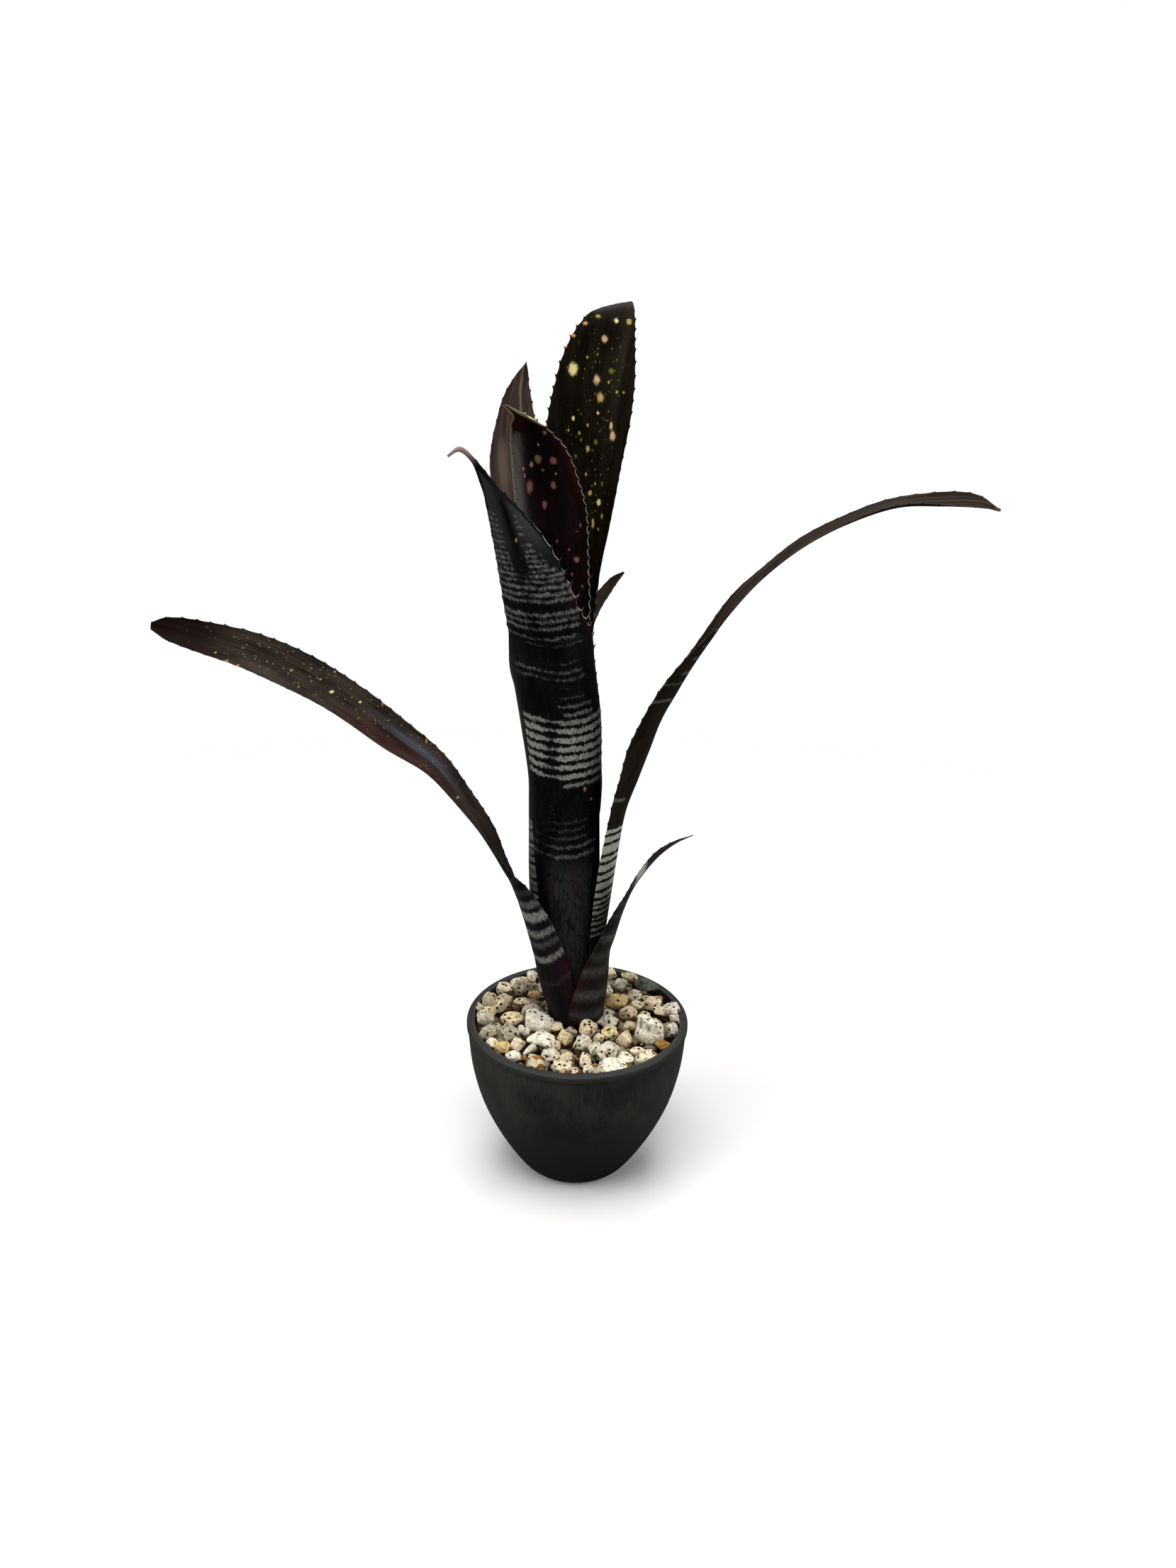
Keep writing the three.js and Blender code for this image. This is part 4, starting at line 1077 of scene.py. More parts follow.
def pot_look(settings):
    """Moulded matt charcoal plastic: fine vertical scuffs, soft cloudy wear, a few pale specks, and painted
    shade that darkens the body towards its foot.
    """
    look = Look("pot_plastic_charcoal")
    place = look.place()
    z = look.parts(place)[2]
    scuff = look.noise(place, (1.3, 1.3, 0.06), 4, 0.65)
    cloud = look.noise(place, (0.045, 0.045, 0.05), 3, 0.5)
    grain = look.noise(place, 6.0, 2, 0.5)
    share = (scuff * 0.45 + cloud * 0.55).step(0.38, 0.66)
    base = tuple(settings.colour)
    body = look.blend(share, dimmed(base, 0.4), dimmed(base, 1.4))
    # Painted shade: the body darkens towards the foot
    body = look.blend(z.step(64, 8, 0.0, 0.97), body, dimmed(base, 0.12))
    rim = look.blend(share, dimmed(base, 0.8), dimmed(base, 1.25))
    rim_from = RIM_TOP - RIM_BAND / 2
    colour = look.blend(z.step(rim_from - 0.6, rim_from + 0.4), body, rim)
    scratch = look.noise(place, (3.4, 3.4, 0.11), 2, 0.5).step(0.68, 0.78)
    colour = look.blend(scratch * 0.22, colour, dimmed(base, 3.2))
    distance, chance = look.cells(place, 0.14)
    speck = distance.step(0.035, 0.02) * chance.step(0.6, 0.7)
    colour = look.blend(speck * 0.5, colour, (0.25, 0.25, 0.24))
    look.relief(scuff * 0.5 + grain * 0.5, 0.06, 0.6)
    return look.finish(colour, cloud.step(0.3, 0.7, 0.46, 0.62) + (scuff - 0.5) * 0.2, 0.25)


def pumice_look(name):
    """Pumice and grit: each stone's own tint, pale mottling, ochre stains, and dark specks that are painted
    shade of pits and open pores."""
    look = Look(name)
    # The tint carries painted shade under the pebbles, in their pits, and over the lower layer and the grains
    tint = look.attribute("tint")
    stone = look.attribute("stone")
    own = look.vector("ADD", look.place(), look.stretched(stone, 60))
    _, pores, stain = look.parts(stone)
    mottle = look.noise(own, 0.55, 4, 0.65)
    grain = look.noise(own, 3.2, 3, 0.6)
    hollow = look.blend(1.0, tint, (0.66, 0.61, 0.52), "MULTIPLY")
    grimy = look.blend(1.0, tint, (0.56, 0.53, 0.48), "MULTIPLY")
    colour = look.blend(mottle.step(0.32, 0.6), hollow, tint)
    colour = look.blend(grain.step(0.35, 0.65, 0.0, 0.4), colour, grimy)
    rusty = look.noise(own, 0.33, 3, 0.6).step(0.52, 0.7) * stain
    colour = look.blend(rusty, colour, tone(198, 156, 70))
    # Painted shade: dark specks for the shadow in pits and pores, as much as the stone's share of pores
    distance, chance = look.cells(own, (0.38, 0.5, 0.38))
    speck = (distance + (grain - 0.5) * 0.6).step(0.33, 0.25) * chance.step(0.38, 0.42)
    distance, chance = look.cells(own, 1.15)
    small = distance.step(0.33, 0.18) * chance.step(0.42, 0.5)
    dark = speck.at_least(small * 0.85) * pores
    colour = look.blend(dark, colour, tone(28, 26, 23))
    look.relief(grain * 0.6 + mottle * 0.6 - dark * 0.8, 0.35, 0.9)
    return look.finish(colour, mottle.step(0.3, 0.6, 0.6, 1.0) * 0.92, 0.25)


def crumb_look(name, light, dark, scale):
    """Crumbly mix, grit or cork: two browns in coarse and fine grains."""
    look = Look(name)
    place = look.place()
    coarse = look.noise(place, scale, 4, 0.65)
    grain = look.noise(place, 4 * scale, 3, 0.6)
    distance, _ = look.cells(place, 0.7 * scale)
    colour = look.blend((coarse * 0.5 + grain * 0.5).step(0.38, 0.64), dark, light)
    colour = look.blend(distance.step(0.35, 0.75, 0.0, 0.6), colour, dark)
    look.relief(grain - distance, 0.6, 0.9)
    return look.finish(colour, 0.92, 0.2)


# Settings

class PotSettings(bpy.types.PropertyGroup):
    sides: bpy.props.IntProperty(name="Sides", description="Facets round the pot", default=192, min=24)
    groove: bpy.props.FloatProperty(
        name="Groove", description="Depth of the fine line round the rim's top", default=0.2 * MM,
        subtype="DISTANCE", unit="LENGTH", precision=5)
    colour: bpy.props.FloatVectorProperty(
        name="Colour", description="Colour of the moulded plastic", default=tone(40, 41, 38), subtype="COLOR",
        size=3, min=0, max=1)


class PumiceSettings(bpy.types.PropertyGroup):
    seed: bpy.props.IntProperty(name="Seed", description="Arrangement of the hidden pebbles", default=7)
    filler: bpy.props.IntProperty(name="Filler", description="Tries at laying a hidden pebble", default=900)
    grains: bpy.props.IntProperty(name="Grains", description="Small grains between the pebbles", default=300)
    roundness: bpy.props.FloatProperty(
        name="Roundness", description="How round the pebbles' edges are, lower is rounder", default=11.0,
        min=2)


class LeafSettings(bpy.types.PropertyGroup):
    leaf_thickness: bpy.props.FloatProperty(
        name="Thickness", description="Thickness of a leaf at its midrib", default=0.8 * MM,
        subtype="DISTANCE", unit="LENGTH", precision=5)
    tooth_scale: bpy.props.FloatProperty(
        name="Teeth", description="Size of the marginal teeth, 1 as in the plant", default=1.0, min=0)
    silver: bpy.props.FloatVectorProperty(
        name="Silver", description="Colour of the scale bands", default=tone(166, 170, 162), subtype="COLOR",
        size=3, min=0, max=1)


class StageSettings(bpy.types.PropertyGroup):
    floor: bpy.props.FloatVectorProperty(
        name="Floor", description="Colour of the floor", default=(0.8, 0.79, 0.78), subtype="COLOR", size=3,
        min=0, max=1)
    light: bpy.props.FloatProperty(name="Light", description="Strength of all lights", default=1.0, min=0)


SETTINGS = {
    "billbergia_pot": PotSettings, "billbergia_pumice": PumiceSettings,
    "billbergia_leaves": LeafSettings, "billbergia_stage": StageSettings,
}


# Pot

def pot_profile(settings):
    """Outline of the pot from the middle of its foot outside, over the rim and down inside to the middle of
    its floor, as radius and height: the body is a Catmull-Rom curve through its points, the rim stands out
    from it as a rounded lip with quarter circles at its edges, and a fine groove runs round its top."""
    body = curve_through(BODY_OUTLINE, np.linspace(0, len(BODY_OUTLINE) - 1, 73), held_ends=True)
    body[:, 1] = np.maximum(body[:, 1], 0)
    turn = np.radians(np.linspace(0, 90, 9))
    groove = settings.groove / MM
    outside_rim = [(54.3, 75.6), (54.35, 76.9), (54.55, 77.15), (54.85, 77.35), (RIM_RADIUS, 77.8)]
    outside_rim += [(RIM_RADIUS - RIM_LIP + RIM_LIP * math.cos(t), RIM_TOP - RIM_LIP + RIM_LIP * math.sin(t))
                    for t in turn]
    outside_rim += [(53.3, RIM_TOP - groove / 3), (53.1, RIM_TOP - groove), (52.9, RIM_TOP - groove / 3),
                    (52.7, RIM_TOP)]
    outside_rim += [(MOUTH_RADIUS + RIM_INNER_LIP * (1 - math.sin(t)),
                     RIM_TOP - RIM_INNER_LIP + RIM_INNER_LIP * math.cos(t)) for t in turn]
    wall = [(MOUTH_RADIUS, 77.0), (MOUTH_RADIUS, 74.0)]
    inner = body[::-3]
    inner = inner[(inner[:, 1] < 72) & (inner[:, 1] > POT_FLOOR + 2)]
    inside = [(min(r - POT_WALL, MOUTH_RADIUS), z) for r, z in inner]
    floor = [(inside[-1][0] - 0.9, POT_FLOOR + 0.6), (inside[-1][0] - 2.4, POT_FLOOR), (0, POT_FLOOR)]
    ground = [(0, 0), (20.5, 0), (22.4, 0.0)]
    return np.array(ground + [tuple(p) for p in body[1:]] + outside_rim + wall + inside + floor)


def lathe(profile, sides):
    """Surface of revolution about Z: row i is the circle of profile point i, and the first and last points
    lie on the axis and close the surface with fans."""
    turn = 2 * np.pi * np.arange(sides) / sides
    ring = profile[1:-1]
    points = np.stack([ring[:, None, 0] * np.cos(turn), ring[:, None, 0] * np.sin(turn),
                       np.broadcast_to(ring[:, None, 1], (len(ring), sides))], -1).reshape(-1, 3)
    count = len(points)
    points = np.vstack([points, [0, 0, profile[0, 1]], [0, 0, profile[-1, 1]]])
    k = np.arange(sides)
    low = np.stack([np.full(sides, count), (k + 1) % sides, k], -1)
    high = (len(ring) - 1) * sides
    top = np.stack([np.full(sides, count + 1), high + k, high + (k + 1) % sides], -1)
    return points, [grid_quads(len(ring), sides, wrap=True), low, top]


def bored(piece, cutters):
    """Takes the cutters away from a piece and leaves the result as its mesh."""
    for cutter in cutters:
        cut = piece.modifiers.new("bore", "BOOLEAN")
        cut.operation = "DIFFERENCE"
        cut.solver = "EXACT"
        cut.object = cutter
    graph = bpy.context.evaluated_depsgraph_get()
    mesh = bpy.data.meshes.new_from_object(piece.evaluated_get(graph))
    piece.modifiers.clear()
    piece.data = mesh
    for cutter in cutters:
        bpy.data.objects.remove(cutter)


class BuildPot(bpy.types.Operator):
    """Turned pot with its rim band and drain holes"""
    bl_idname = "billbergia.build_pot"
    bl_label = "Pot"

    def execute(self, context):
        settings = context.scene.billbergia_pot
        look = pot_look(settings)
        pot = make_piece("pot_moulded", *lathe(pot_profile(settings), settings.sides), look)
        hole = np.array([(0, -3), (DRAIN_RADIUS, -3), (DRAIN_RADIUS, 8), (0, 8)], float)
        bore_points, bore_faces = lathe(hole, 40)
        cutters = []
        for i in range(DRAIN_HOLES):
            turn = (i + 0.5) * 2 * math.pi / DRAIN_HOLES
            centre = [DRAIN_RING * math.cos(turn), DRAIN_RING * math.sin(turn), 0]
            cutters.append(make_piece("bore", bore_points + centre, bore_faces, look))
        bored(pot, cutters)
        pot.data.set_sharp_from_angle(angle=math.radians(SHARP_FROM))
        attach(pot, "root")
        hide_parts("pot")
        return {"FINISHED"}


# Mix and stem

class DressCore(bpy.types.Operator):
    """Materials of the potting mix and of the stem, which keep their solids"""
    bl_idname = "billbergia.dress_core"
    bl_label = "Potting mix and stem"

    def execute(self, context):
        looks = {
            "potting_mix": crumb_look("potting_mix_crumb", tone(92, 68, 48), tone(34, 24, 18), 0.6),
            "rootstock": crumb_look("rootstock_fibre", tone(104, 70, 54), tone(40, 22, 18), 0.9),
        }
        for node, look in looks.items():
            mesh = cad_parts[node].data
            mesh.materials.clear()
            mesh.materials.append(look)
        return {"FINISHED"}


# Pumice

def pebble(random, half, rows, columns, sharpness, pits):
    """One pebble on a grid of latitudes and longitudes. Its surface in direction d lies at
    (sum of (d.n / h) ^ p) ^ (-1 / p) over some tilted planes n at distances h, which gives worn facets; slow
    waves and small round pits are added, and the whole is stretched to its half sizes. The shade it returns
    is painted shade, darker in the pits."""
    lat = np.linspace(0, np.pi, rows + 2)[1:-1]
    lon = 2 * np.pi * np.arange(columns) / columns
    d = np.stack([np.sin(lat)[:, None] * np.cos(lon), np.sin(lat)[:, None] * np.sin(lon),
                  np.broadcast_to(np.cos(lat)[:, None], (rows, columns))], -1).reshape(-1, 3)
    d = np.vstack([d, [0, 0, 1], [0, 0, -1]])
    spin, _ = np.linalg.qr(random.normal(size=(3, 3)))
    d_own = d @ spin
    planes = unit(random.normal(size=(13, 3)))
    planes = np.vstack([planes, -planes[:6]])
    far = random.uniform(0.74, 1.0, len(planes))
    facing = np.maximum(d_own @ planes.T, 0) / far
    r = (facing ** sharpness).sum(1) ** (-1 / sharpness)
    for count, quickness, depth in ((5, 3.2, 0.022), (6, 9, 0.009)):
        waves = random.normal(size=(count, 3)) * quickness
        r = r * (1 + depth * np.sin(d_own @ waves.T + random.uniform(0, 6, count)).sum(1))
    shade = np.ones(len(d))
    if pits:
        holes = unit(random.normal(size=(pits, 3)))
        width = random.uniform(0.07, 0.17, pits)
        depth = random.uniform(0.03, 0.09, pits)
        near = np.exp(-(1 - d_own @ holes.T) / (width ** 2 / 2))
        r = r - (depth * near).sum(1)
        # Painted shade: the pits darken the colour that the pebble takes
        shade = 1 - 0.8 * np.clip((near * depth / 0.07).sum(1), 0, 1)
    r = r / np.abs(r[:, None] * d).max()
    points = d * r[:, None]
    points = points / np.abs(points).max(0) * half
    k = np.arange(columns)
    pole = rows * columns
    top = np.stack([np.full(columns, pole), k, (k + 1) % columns], -1)
    low = (rows - 1) * columns
    bottom = np.stack([np.full(columns, pole + 1), low + (k + 1) % columns, low + k], -1)
    return points, [grid_quads(rows, columns, wrap=True)[:, ::-1], top, bottom], shade[:, None]


def turned_about(points, tilt, spin):
    """Points tilted about X and spun about Z, in radians."""
    c, s = math.cos(tilt), math.sin(tilt)
    points = points @ np.array([[1, 0, 0], [0, c, s], [0, -s, c]])
    c, s = math.cos(spin), math.sin(spin)
    return points @ np.array([[c, s, 0], [-s, c, 0], [0, 0, 1]])


def shaded_underside(points, shade):
    """Painted shade that falls to half below a pebble's widest level, as a contact shadow where it rests."""
    return shade * (0.5 + 0.5 * smooth_step(-0.8, 0.15, points[:, 2:] / points[:, 2].max()))


class Heap:
    """Stones gathered into one mesh"""

    def __init__(self):
        self.points, self.quads, self.triangles, self.tint, self.stone, self.count = [], [], [], [], [], 0

    def add(self, points, faces, tint, stone):
        """Adds a stone with its tint, in which painted shade may be multiplied, and with its seed, share of
        pores and share of stain.
        """
        self.points.append(points)
        for face in faces:
            (self.quads if face.shape[1] == 4 else self.triangles).append(face + self.count)
        self.tint.append(np.broadcast_to(tint, points.shape))
        self.stone.append(np.broadcast_to(stone, points.shape))
        self.count += len(points)

    def piece(self, name, look):
        """The stones as one piece."""
        return make_piece(name, np.concatenate(self.points),
                          [np.concatenate(self.quads), np.concatenate(self.triangles)], look,
                          {"tint": np.concatenate(self.tint), "stone": np.concatenate(self.stone)})


def seen_depth(half_width, half_seen):
    """Half depth and half height of a pebble whose outline is half_seen high from the camera, which looks
    down on the pot by 31 degrees, when it is nearly as deep as it is wide: the seen height squared is the
    height times the cosine squared plus the depth times the sine squared."""
    down = math.radians(30.6)
    deep = 0.9 * half_width
    rest = half_seen ** 2 - (deep * math.sin(down)) ** 2
    tall = math.sqrt(max(rest, 0.0)) / math.cos(down)
    return deep, min(max(tall, 0.52 * half_width), 1.15 * half_width)


def random_place(random, reach):
    """A place in a circle about the pot's axis, and its distance from the axis."""
    radius = reach * math.sqrt(random.random())
    way = 2 * math.pi * random.random()
    return radius * math.cos(way), radius * math.sin(way), radius


def free_places(random, tries, sizes, plant_room, snug, laid):
    """Random places and sizes for pebbles that touch neither the wall nor the plant, and that lie no nearer
    to the ones in laid than snug times the sum of their sizes. Each is added to laid."""
    for _ in range(tries):
        x, y, radius = random_place(random, PEBBLE_WALL)
        size = random.uniform(*sizes)
        if math.hypot(x - PLANT_X, y) < plant_room + 0.8 * size or radius > PEBBLE_WALL - 0.95 * size:
            continue
        if any(math.hypot(x - a, y - b) < snug * (c + size) for a, b, c in laid):
            continue
        laid.append((x, y, size))
        yield x, y, size


class LayPumice(bpy.types.Operator):
    """Pumice bed, its pebbles and the small grains between them"""
    bl_idname = "billbergia.lay_pumice"
    bl_label = "Pumice"

    def execute(self, context):
        settings = context.scene.billbergia_pumice
        random = np.random.default_rng(settings.seed)
        front, rear, lower = Heap(), Heap(), Heap()
        laid = self.lay_shown(settings, random, front, rear)
        self.lay_hidden(settings, random, rear, laid)
        self.lay_under(settings, random, lower)
        self.strew_grains(settings, random, lower)
        look = pumice_look("pumice_pitted")
        for heap, name in ((front, "pumice_pebbles_front"), (rear, "pumice_pebbles_rear"),
                           (lower, "pumice_pebbles_lower")):
            piece = heap.piece(name, look)
            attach(piece, "root")
            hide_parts("pumice_top_dressing")
        self.lay_bed()
        return {"FINISHED"}

    def lay_shown(self, settings, random, front, rear):
        """The pebbles that the photograph shows, each where it stands there."""
        laid = []
        for across, down, half_across, half_down, tint, *height in PEBBLES:
            wide, seen = (round(HEAP_SCALE * half, 1) for half in (half_across, half_down))
            heights = np.array(height) if height else np.arange(*HEAP_HEIGHTS)
            x, y, z = pebble_centre(across, down, HEAP_SCALE * half_across, heights)
            half = 1.05 * np.array([wide, *seen_depth(wide, seen)])
            points, faces, shade = pebble(random, half, 30, 52, settings.roundness, 22)
            points = turned_about(points, 0.3 * (random.random() - 0.5), 0.3 * (random.random() - 0.5))
            stain = {"o": 0.85, "y": 0.5, "n": 0.8}.get(tint, 0.22 * random.random())
            pores = {"d": 0.3, "n": 0.5, "w": 0.9}.get(tint, 1.0)
            heap = front if y < FRONT_EDGE else rear
            # The tint carries painted shade below the pebble's widest level and in its pits
            heap.add(points + [x, y, z], faces, shaded_underside(points, shade) * TINTS[tint],
                     (random.random(), pores, stain))
            laid.append((x, y, wide))
        return laid

    def lay_hidden(self, settings, random, rear, laid):
        """Upper pebbles in the room that the shown ones leave."""
        for x, y, size in free_places(random, settings.filler, (3.2, 5.6), UPPER_ROOM, 0.86, laid):
            z = 80.2 + 1.6 * random.random() - (2.4 if y < -20 else 0)
            half = size * np.array([1, random.uniform(0.75, 0.95), random.uniform(0.62, 0.85)])
            points, faces, shade = pebble(random, half, 20, 32, settings.roundness, 14)
            points = turned_about(points, 0.5 * (random.random() - 0.5), 6.3 * random.random())
            tint = "wccyybbttsspg"[random.integers(13)]
            # The tint carries painted shade below the pebble's widest level and in its pits
            rear.add(points + [x, y, z], faces, shaded_underside(points, shade) * TINTS[tint],
                     (random.random(), 1.0, 0.3 * random.random()))

    def lay_under(self, settings, random, lower):
        """The layer of pebbles under the upper ones, their tints dimmed to 0.55 as painted shade."""
        for x, y, size in free_places(random, settings.filler, (3.0, 4.6), LOWER_ROOM, 0.8, []):
            half = size * np.array([1, random.uniform(0.75, 0.95), random.uniform(0.7, 0.9)])
            points, faces, _ = pebble(random, half, 10, 16, settings.roundness, 0)
            points = turned_about(points, 0.5 * (random.random() - 0.5), 6.3 * random.random())
            tint = "ccybbtgnnr"[random.integers(10)]
            # Painted shade: the lower pebbles take their tints at 0.55, as shade under the upper ones
            lower.add(points + [x, y, 75.4 + random.random()], faces, dimmed(TINTS[tint], 0.55),
                      (random.random(), 1.0, 0.6 * random.random()))

    def strew_grains(self, settings, random, lower):
        """Small grains in the gaps, their tints halved as painted shade."""
        for _ in range(settings.grains):
            x, y, _ = random_place(random, PEBBLE_WALL - 1.2)
            if math.hypot(x - PLANT_X, y) < GRAIN_ROOM:
                continue
            half = random.uniform(0.7, 1.7) * np.array([1, 0.85, 0.75])
            points, faces, _ = pebble(random, half, 4, 7, 5.0, 0)
            tint = "nnrobcb"[random.integers(7)]
            # Painted shade: the grains take their tints at half, as shade in the gaps
            lower.add(points + [x, y, 76.6 + 1.8 * random.random()], faces, dimmed(TINTS[tint], 0.5),
                      (random.random(), 0.6, 0.4))

    def lay_bed(self):
        """The grit under the pebbles: a ring between the leaf bases and the pot wall with a gently uneven
        top, whose height is a sum of sines of x and y. Its dark browns are partly painted shade of the gaps."""
        sides, rings = 160, 40
        turn = 2 * np.pi * np.arange(sides) / sides
        share = np.linspace(0, 1, rings)[:, None]
        radius = BED_INNER + (BED_OUTER - BED_INNER) * share + 0 * turn
        x, y = radius * np.cos(turn) + PLANT_X * (1 - share), radius * np.sin(turn)
        z = BED_TOP + 0.5 * np.sin(x / 2.3) * np.sin(y / 1.9) + 0.35 * np.sin(x * 1.1 + y) - 0.3
        top = np.stack([x, y, z], -1)
        foot = np.stack([x[[-1, 0]], y[[-1, 0]], np.full((2, sides), BED_FOOT)], -1)
        foot[0, :, :2] *= 0.985
        points = np.concatenate([top, foot]).reshape(-1, 3)
        faces = grid_quads(rings + 2, sides, wrap=True)[:, ::-1]
        k = np.arange(sides)
        low = (rings + 1) * sides
        closing = np.stack([(k + 1) % sides, k, low + k, low + (k + 1) % sides], -1)
        # Dark browns: partly the grit's own colour and partly painted shade of the gaps between the pebbles
        look = crumb_look("pumice_grit_bed", tone(78, 58, 36), tone(24, 18, 13), 0.8)
        bed = make_piece("pumice_bed", points, [faces, closing], look)
        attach(bed, "root")
        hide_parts("pumice_top_dressing")


# Leaves

# Finishes of the leaves. Inner and outer are the two sides' colours, base is the colour at the foot,
# second and third are colours in zones, some of them painted sheen and highlight, and a share says how far
# a colour covers. Edge is the hairline on the margin.
PLAIN_LEAF = dict(
    base=tone(24, 12, 14), base_heights=(135, 80), second=None, second_share=0.85, second_outer=0.0,
    third=None, third_outer=0.0, edge_share=0.25, edge_reach=0.35, halo=(0.02, 0.02, 0.004), spot_share=1.0,
    streak=None, crackle=None, flecks=None, silver_gain=1.0, soft=0.12, worn=0.45, narrow=0.0, dust=0.2,
    scales_inside=0.0, relief=0.14, tip_share=0.6)

LEAF_FINISH = {
    "leaf_left_arching": dict(
        slot="leaf_arching_left", specular=0.025, roughness=0.46, inner=tone(58, 50, 42),
        inner_dark=tone(28, 22, 19), outer=tone(24, 21, 21), outer_dark=tone(10, 9, 10),
        base=tone(22, 20, 26), base_heights=(225, 130), second=tone(58, 20, 26), second_share=0.42,
        # third is a painted bluish sheen
        second_outer=0.6, third=tone(84, 90, 102), edge=tone(120, 100, 76), edge_share=0.3,
        tip=tone(18, 6, 4), tip_share=0.95, halo=tone(50, 48, 28), soft=0.24, worn=0.2,
        flecks=dict(
            middle=-3, reach=12, run=(150, 290), stretch=(0.8, 0.42, 3.0), likely=0.45,
            colour=tone(126, 118, 102))),
    "leaf_small_right": dict(
        slot="leaf_small", specular=0.12, roughness=0.45, inner=tone(34, 28, 27), inner_dark=tone(16, 13, 13),
        outer=tone(19, 17, 16), outer_dark=tone(6, 5, 6), base=tone(15, 11, 12), second=tone(60, 20, 24),
        second_outer=0.6, edge=tone(110, 96, 84), tip=tone(26, 22, 20), soft=0.45, worn=0.2,
        scales_inside=0.9),
    "leaf_right_arching": dict(
        slot="leaf_arching_right", specular=0.015, roughness=0.6, inner=tone(41, 32, 27),
        inner_dark=tone(22, 16, 13), outer=tone(42, 37, 34), outer_dark=tone(24, 20, 18),
        edge=tone(120, 108, 92), edge_share=0.35, tip=tone(120, 90, 60), tip_share=0.8,
        streak=tone(74, 62, 54), silver_gain=1.4, worn=0.75, narrow=0.16, relief=0.06),
    "leaf_small_rear": dict(
        slot="leaf_rear", specular=0.07, roughness=0.48, inner=tone(54, 45, 36), inner_dark=tone(22, 17, 14),
        outer=tone(26, 22, 20), outer_dark=tone(11, 9, 9), edge=tone(96, 80, 66), tip=tone(30, 24, 20),
        flecks=dict(
            middle=0, reach=9, run=(150, 262), stretch=(1.0, 0.5, 3.0), likely=0.5, colour=tone(92, 84, 62))),
    "leaf_front_banded": dict(
        slot="leaf_banded", specular=0.06, roughness=0.46, inner=tone(48, 42, 40),
        inner_dark=tone(22, 18, 18), outer=tone(11, 10, 10), outer_dark=tone(3, 3, 3), base=tone(36, 14, 18),
        # third is the grey of the foot and of the upper blade, where it is partly painted sheen
        second=tone(36, 14, 17), second_share=0.5, second_outer=0.4, third=tone(51, 52, 50), third_outer=0.75,
        edge=tone(226, 220, 212), edge_share=0.9, edge_reach=0.38, tip=tone(132, 114, 106), tip_share=0.9,
        crackle=(160, 176), silver_gain=1.12, soft=0.085, worn=0.25, narrow=0.08),
    "leaf_tall_back": dict(
        slot="leaf_spotted_green", specular=0.02, roughness=0.5, inner=tone(23, 18, 10),
        # second is a painted grey sheen
        inner_dark=tone(7, 4, 2), outer=tone(25, 22, 18), outer_dark=tone(8, 7, 6), second=tone(60, 56, 46),
        second_share=0.22, edge=tone(60, 40, 34), tip=tone(36, 33, 26), tip_share=0.2,
        flecks=dict(
            middle=-1, reach=14, run=(196, 324), stretch=(0.62, 0.36, 3.0), likely=0.4,
            colour=tone(92, 94, 32))),
    "leaf_back_left": dict(
        slot="leaf_brown", specular=0.14, roughness=0.45, inner=tone(88, 66, 57), inner_dark=tone(46, 32, 28),
        # third is the painted sheen of the pale panel
        outer=tone(28, 24, 22), outer_dark=tone(10, 9, 8), second=tone(48, 34, 30), third=tone(122, 106, 94),
        edge=tone(96, 66, 54), edge_share=0.4, tip=tone(60, 46, 40), tip_share=0.3, streak=tone(112, 90, 78)),
    "leaf_inner_spotted": dict(
        slot="leaf_spotted_maroon", specular=0.1, roughness=0.42, inner=tone(27, 11, 12),
        inner_dark=tone(6, 3, 4), outer=tone(26, 19, 18), outer_dark=tone(10, 8, 8), base=tone(24, 10, 13),
        # second is the painted grey highlight of the rolled strip
        second=tone(108, 102, 100), third=tone(58, 21, 15), edge=tone(214, 204, 190), edge_share=0.85,
        edge_reach=0.36, tip=tone(180, 178, 136), tip_share=0.95, halo=tone(36, 13, 12), spot_share=0.85),
}


class GrowLeaves(bpy.types.Operator):
    """The eight leaves, each a closed blade with its teeth, bands and spots"""
    bl_idname = "billbergia.grow_leaves"
    bl_label = "Leaves"

    def execute(self, context):
        settings = context.scene.billbergia_leaves
        for name in LEAVES:
            points, faces, attributes = leaf_surface(name, settings)
            piece = make_piece(name + "_blade", points, faces, leaf_look(name, settings), attributes)
            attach(piece, "root")
            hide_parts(name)
        return {"FINISHED"}


# Stage

# Floor: the radii of its rings, and how far it lies under the foot so that the two don't touch
FLOOR_RINGS = (300, 900, 3000, 9000)
FLOOR_SIDES = 96
FLOOR_DROP = 0.05

# Lights: place in metres, side in metres and power in watts. All look at a point in the plant.
LIGHTS = {
    "top_light": ((-0.15, -0.4, 1.6), 1.1, 27.0),
    "left_light": ((-1.15, -0.5, 0.65), 0.9, 10.0),
    "right_light": ((1.15, -0.4, 0.65), 0.9, 8.5),
    "back_light": ((0.1, 0.85, 1.3), 0.8, 8.5),
}
LIT_POINT = (0, 0, 0.2)


def shader_mix(tree, share, a, b):
    """Shader a where the share's socket gives 0, and b where it gives 1."""
    node = tree.nodes.new("ShaderNodeMixShader")
    for socket, value in zip(node.inputs, (share, a, b)):
        tree.links.new(value, socket)
    return node.outputs[0]


def floor_look(colour):
    """Plain pale floor that turns into even white far from the object. It is seen so by the camera alone, and
    throws back little light onto the object."""
    look = Look("floor_pale")
    far = look.vector("LENGTH", look.place()).step(260, 900)
    glow = look.node("Emission", {"Color": (1.0, 1.0, 1.0), "Strength": 1.0})
    dull = look.node("BsdfDiffuse", {"Color": (0.16, 0.15, 0.14)})
    path = look.node("LightPath", {})
    pale = shader_mix(look.tree, far.socket, look.shader.outputs[0], glow.outputs[0])
    seen = shader_mix(look.tree, path.outputs["Is Camera Ray"], dull.outputs[0], pale)
    look.put(look.tree.nodes["Material Output"].inputs["Surface"], seen)
    return look.finish(tuple(colour), 0.9, 0.1)


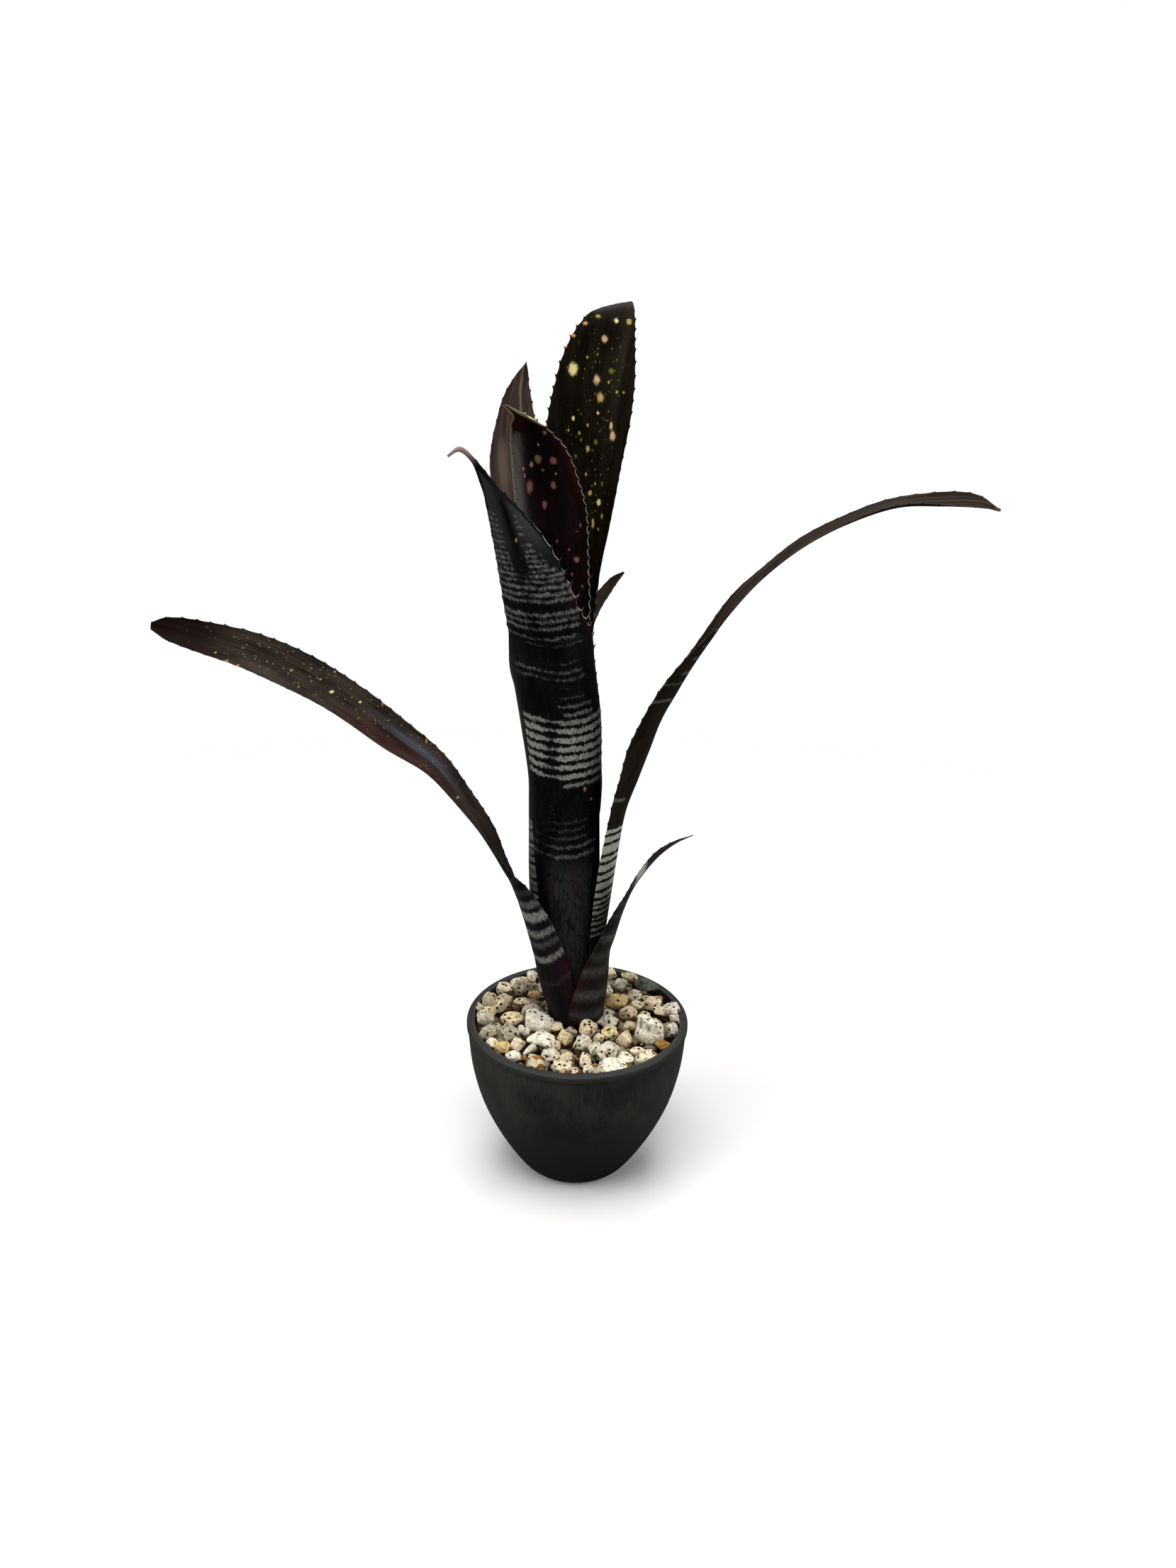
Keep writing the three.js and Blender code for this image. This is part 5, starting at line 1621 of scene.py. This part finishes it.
class SetStage(bpy.types.Operator):
    """Floor, soft lights, white surroundings and the camera at the photograph's angle"""
    bl_idname = "billbergia.set_stage"
    bl_label = "Stage"

    def execute(self, context):
        settings = context.scene.billbergia_stage
        self.lay_floor(settings.floor)
        self.hang_lights(settings.light)
        self.paint_surroundings(settings.light)
        self.stand_camera()
        context.scene.view_settings.view_transform = "Standard"
        return {"FINISHED"}

    def lay_floor(self, colour):
        """A round floor of rings about a middle point."""
        k = np.arange(FLOOR_SIDES)
        turn = 2 * np.pi * k / FLOOR_SIDES
        reach = np.array(FLOOR_RINGS, float)[:, None]
        rings = len(FLOOR_RINGS)
        points = np.stack([reach * np.cos(turn), reach * np.sin(turn),
                           np.full((rings, FLOOR_SIDES), -FLOOR_DROP)], -1).reshape(-1, 3)
        fan = np.stack([np.full(FLOOR_SIDES, len(points)), k, (k + 1) % FLOOR_SIDES], -1)
        faces = [grid_quads(rings, FLOOR_SIDES, wrap=True)[:, ::-1], fan]
        floor = make_piece("floor", np.vstack([points, [0, 0, -FLOOR_DROP]]), faces, floor_look(colour))

    def hang_lights(self, strength):
        """Square area lights that look at the plant."""
        for name, (place, size, power) in LIGHTS.items():
            lamp = bpy.data.lights.new(name, "AREA")
            lamp.shape = "SQUARE"
            lamp.size = size
            lamp.energy = power * strength
            holder = bpy.data.objects.new(name, lamp)
            holder.location = place
            aim = Vector(LIT_POINT) - Vector(place)
            holder.rotation_euler = aim.to_track_quat("-Z", "Y").to_euler()
            bpy.context.scene.collection.objects.link(holder)

    def paint_surroundings(self, strength):
        """White to the camera, and a dim warm white to everything else."""
        world = bpy.data.worlds.new("white_surroundings")
        world.use_nodes = True
        tree = world.node_tree
        seen = tree.nodes["Background"]
        felt = tree.nodes.new("ShaderNodeBackground")
        for shade, colour, power in ((seen, (1, 1, 1, 1), 1.0), (felt, (1, 0.99, 0.97, 1), 0.14 * strength)):
            shade.inputs["Color"].default_value = colour
            shade.inputs["Strength"].default_value = power
        path = tree.nodes.new("ShaderNodeLightPath")
        mixed = shader_mix(tree, path.outputs["Is Camera Ray"], felt.outputs[0], seen.outputs[0])
        tree.links.new(mixed, tree.nodes["World Output"].inputs["Surface"])
        bpy.context.scene.world = world

    def stand_camera(self):
        """The camera that took the photograph."""
        forward, right, up = camera_axes()
        lens = bpy.data.cameras.new("photo_camera")
        lens.sensor_width = SENSOR_MM
        lens.lens = FOCAL_PX * SENSOR_MM / PICTURE_PX
        lens.clip_end = 50.0
        camera = bpy.data.objects.new("photo_camera", lens)
        matrix = Matrix((right, up, -forward)).transposed().to_4x4()
        matrix.translation = Vector(CAMERA_PLACE)
        camera.matrix_world = matrix
        bpy.context.scene.collection.objects.link(camera)
        bpy.context.scene.camera = camera


# Add-on

class BillbergiaPanel(bpy.types.Panel):
    """Lists the steps that build the potted billbergia"""
    bl_idname = "VIEW3D_PT_billbergia"
    bl_label = "Potted billbergia"
    bl_space_type = "VIEW_3D"
    bl_region_type = "UI"
    bl_category = "Potted billbergia"

    def draw(self, context):
        for step in STEPS:
            self.layout.operator(step.bl_idname)
        for key, group in SETTINGS.items():
            box = self.layout.box()
            for name in group.__annotations__:
                box.prop(getattr(context.scene, key), name)


STEPS = (BuildPot, DressCore, LayPumice, GrowLeaves, SetStage)
CLASSES = tuple(SETTINGS.values()) + STEPS + (BillbergiaPanel,)


def register():
    """Adds the panel, the steps and their settings."""
    for item in CLASSES:
        bpy.utils.register_class(item)
    for key, group in SETTINGS.items():
        setattr(bpy.types.Scene, key, bpy.props.PointerProperty(type=group))


def unregister():
    """Takes them away again."""
    for key in SETTINGS:
        delattr(bpy.types.Scene, key)
    for item in reversed(CLASSES):
        bpy.utils.unregister_class(item)


def main():
    """Builds everything."""
    register()
    bpy.ops.billbergia.build_pot()
    bpy.ops.billbergia.dress_core()
    bpy.ops.billbergia.lay_pumice()
    bpy.ops.billbergia.grow_leaves()
    bpy.ops.billbergia.set_stage()


if __name__ == "__main__":
    main()
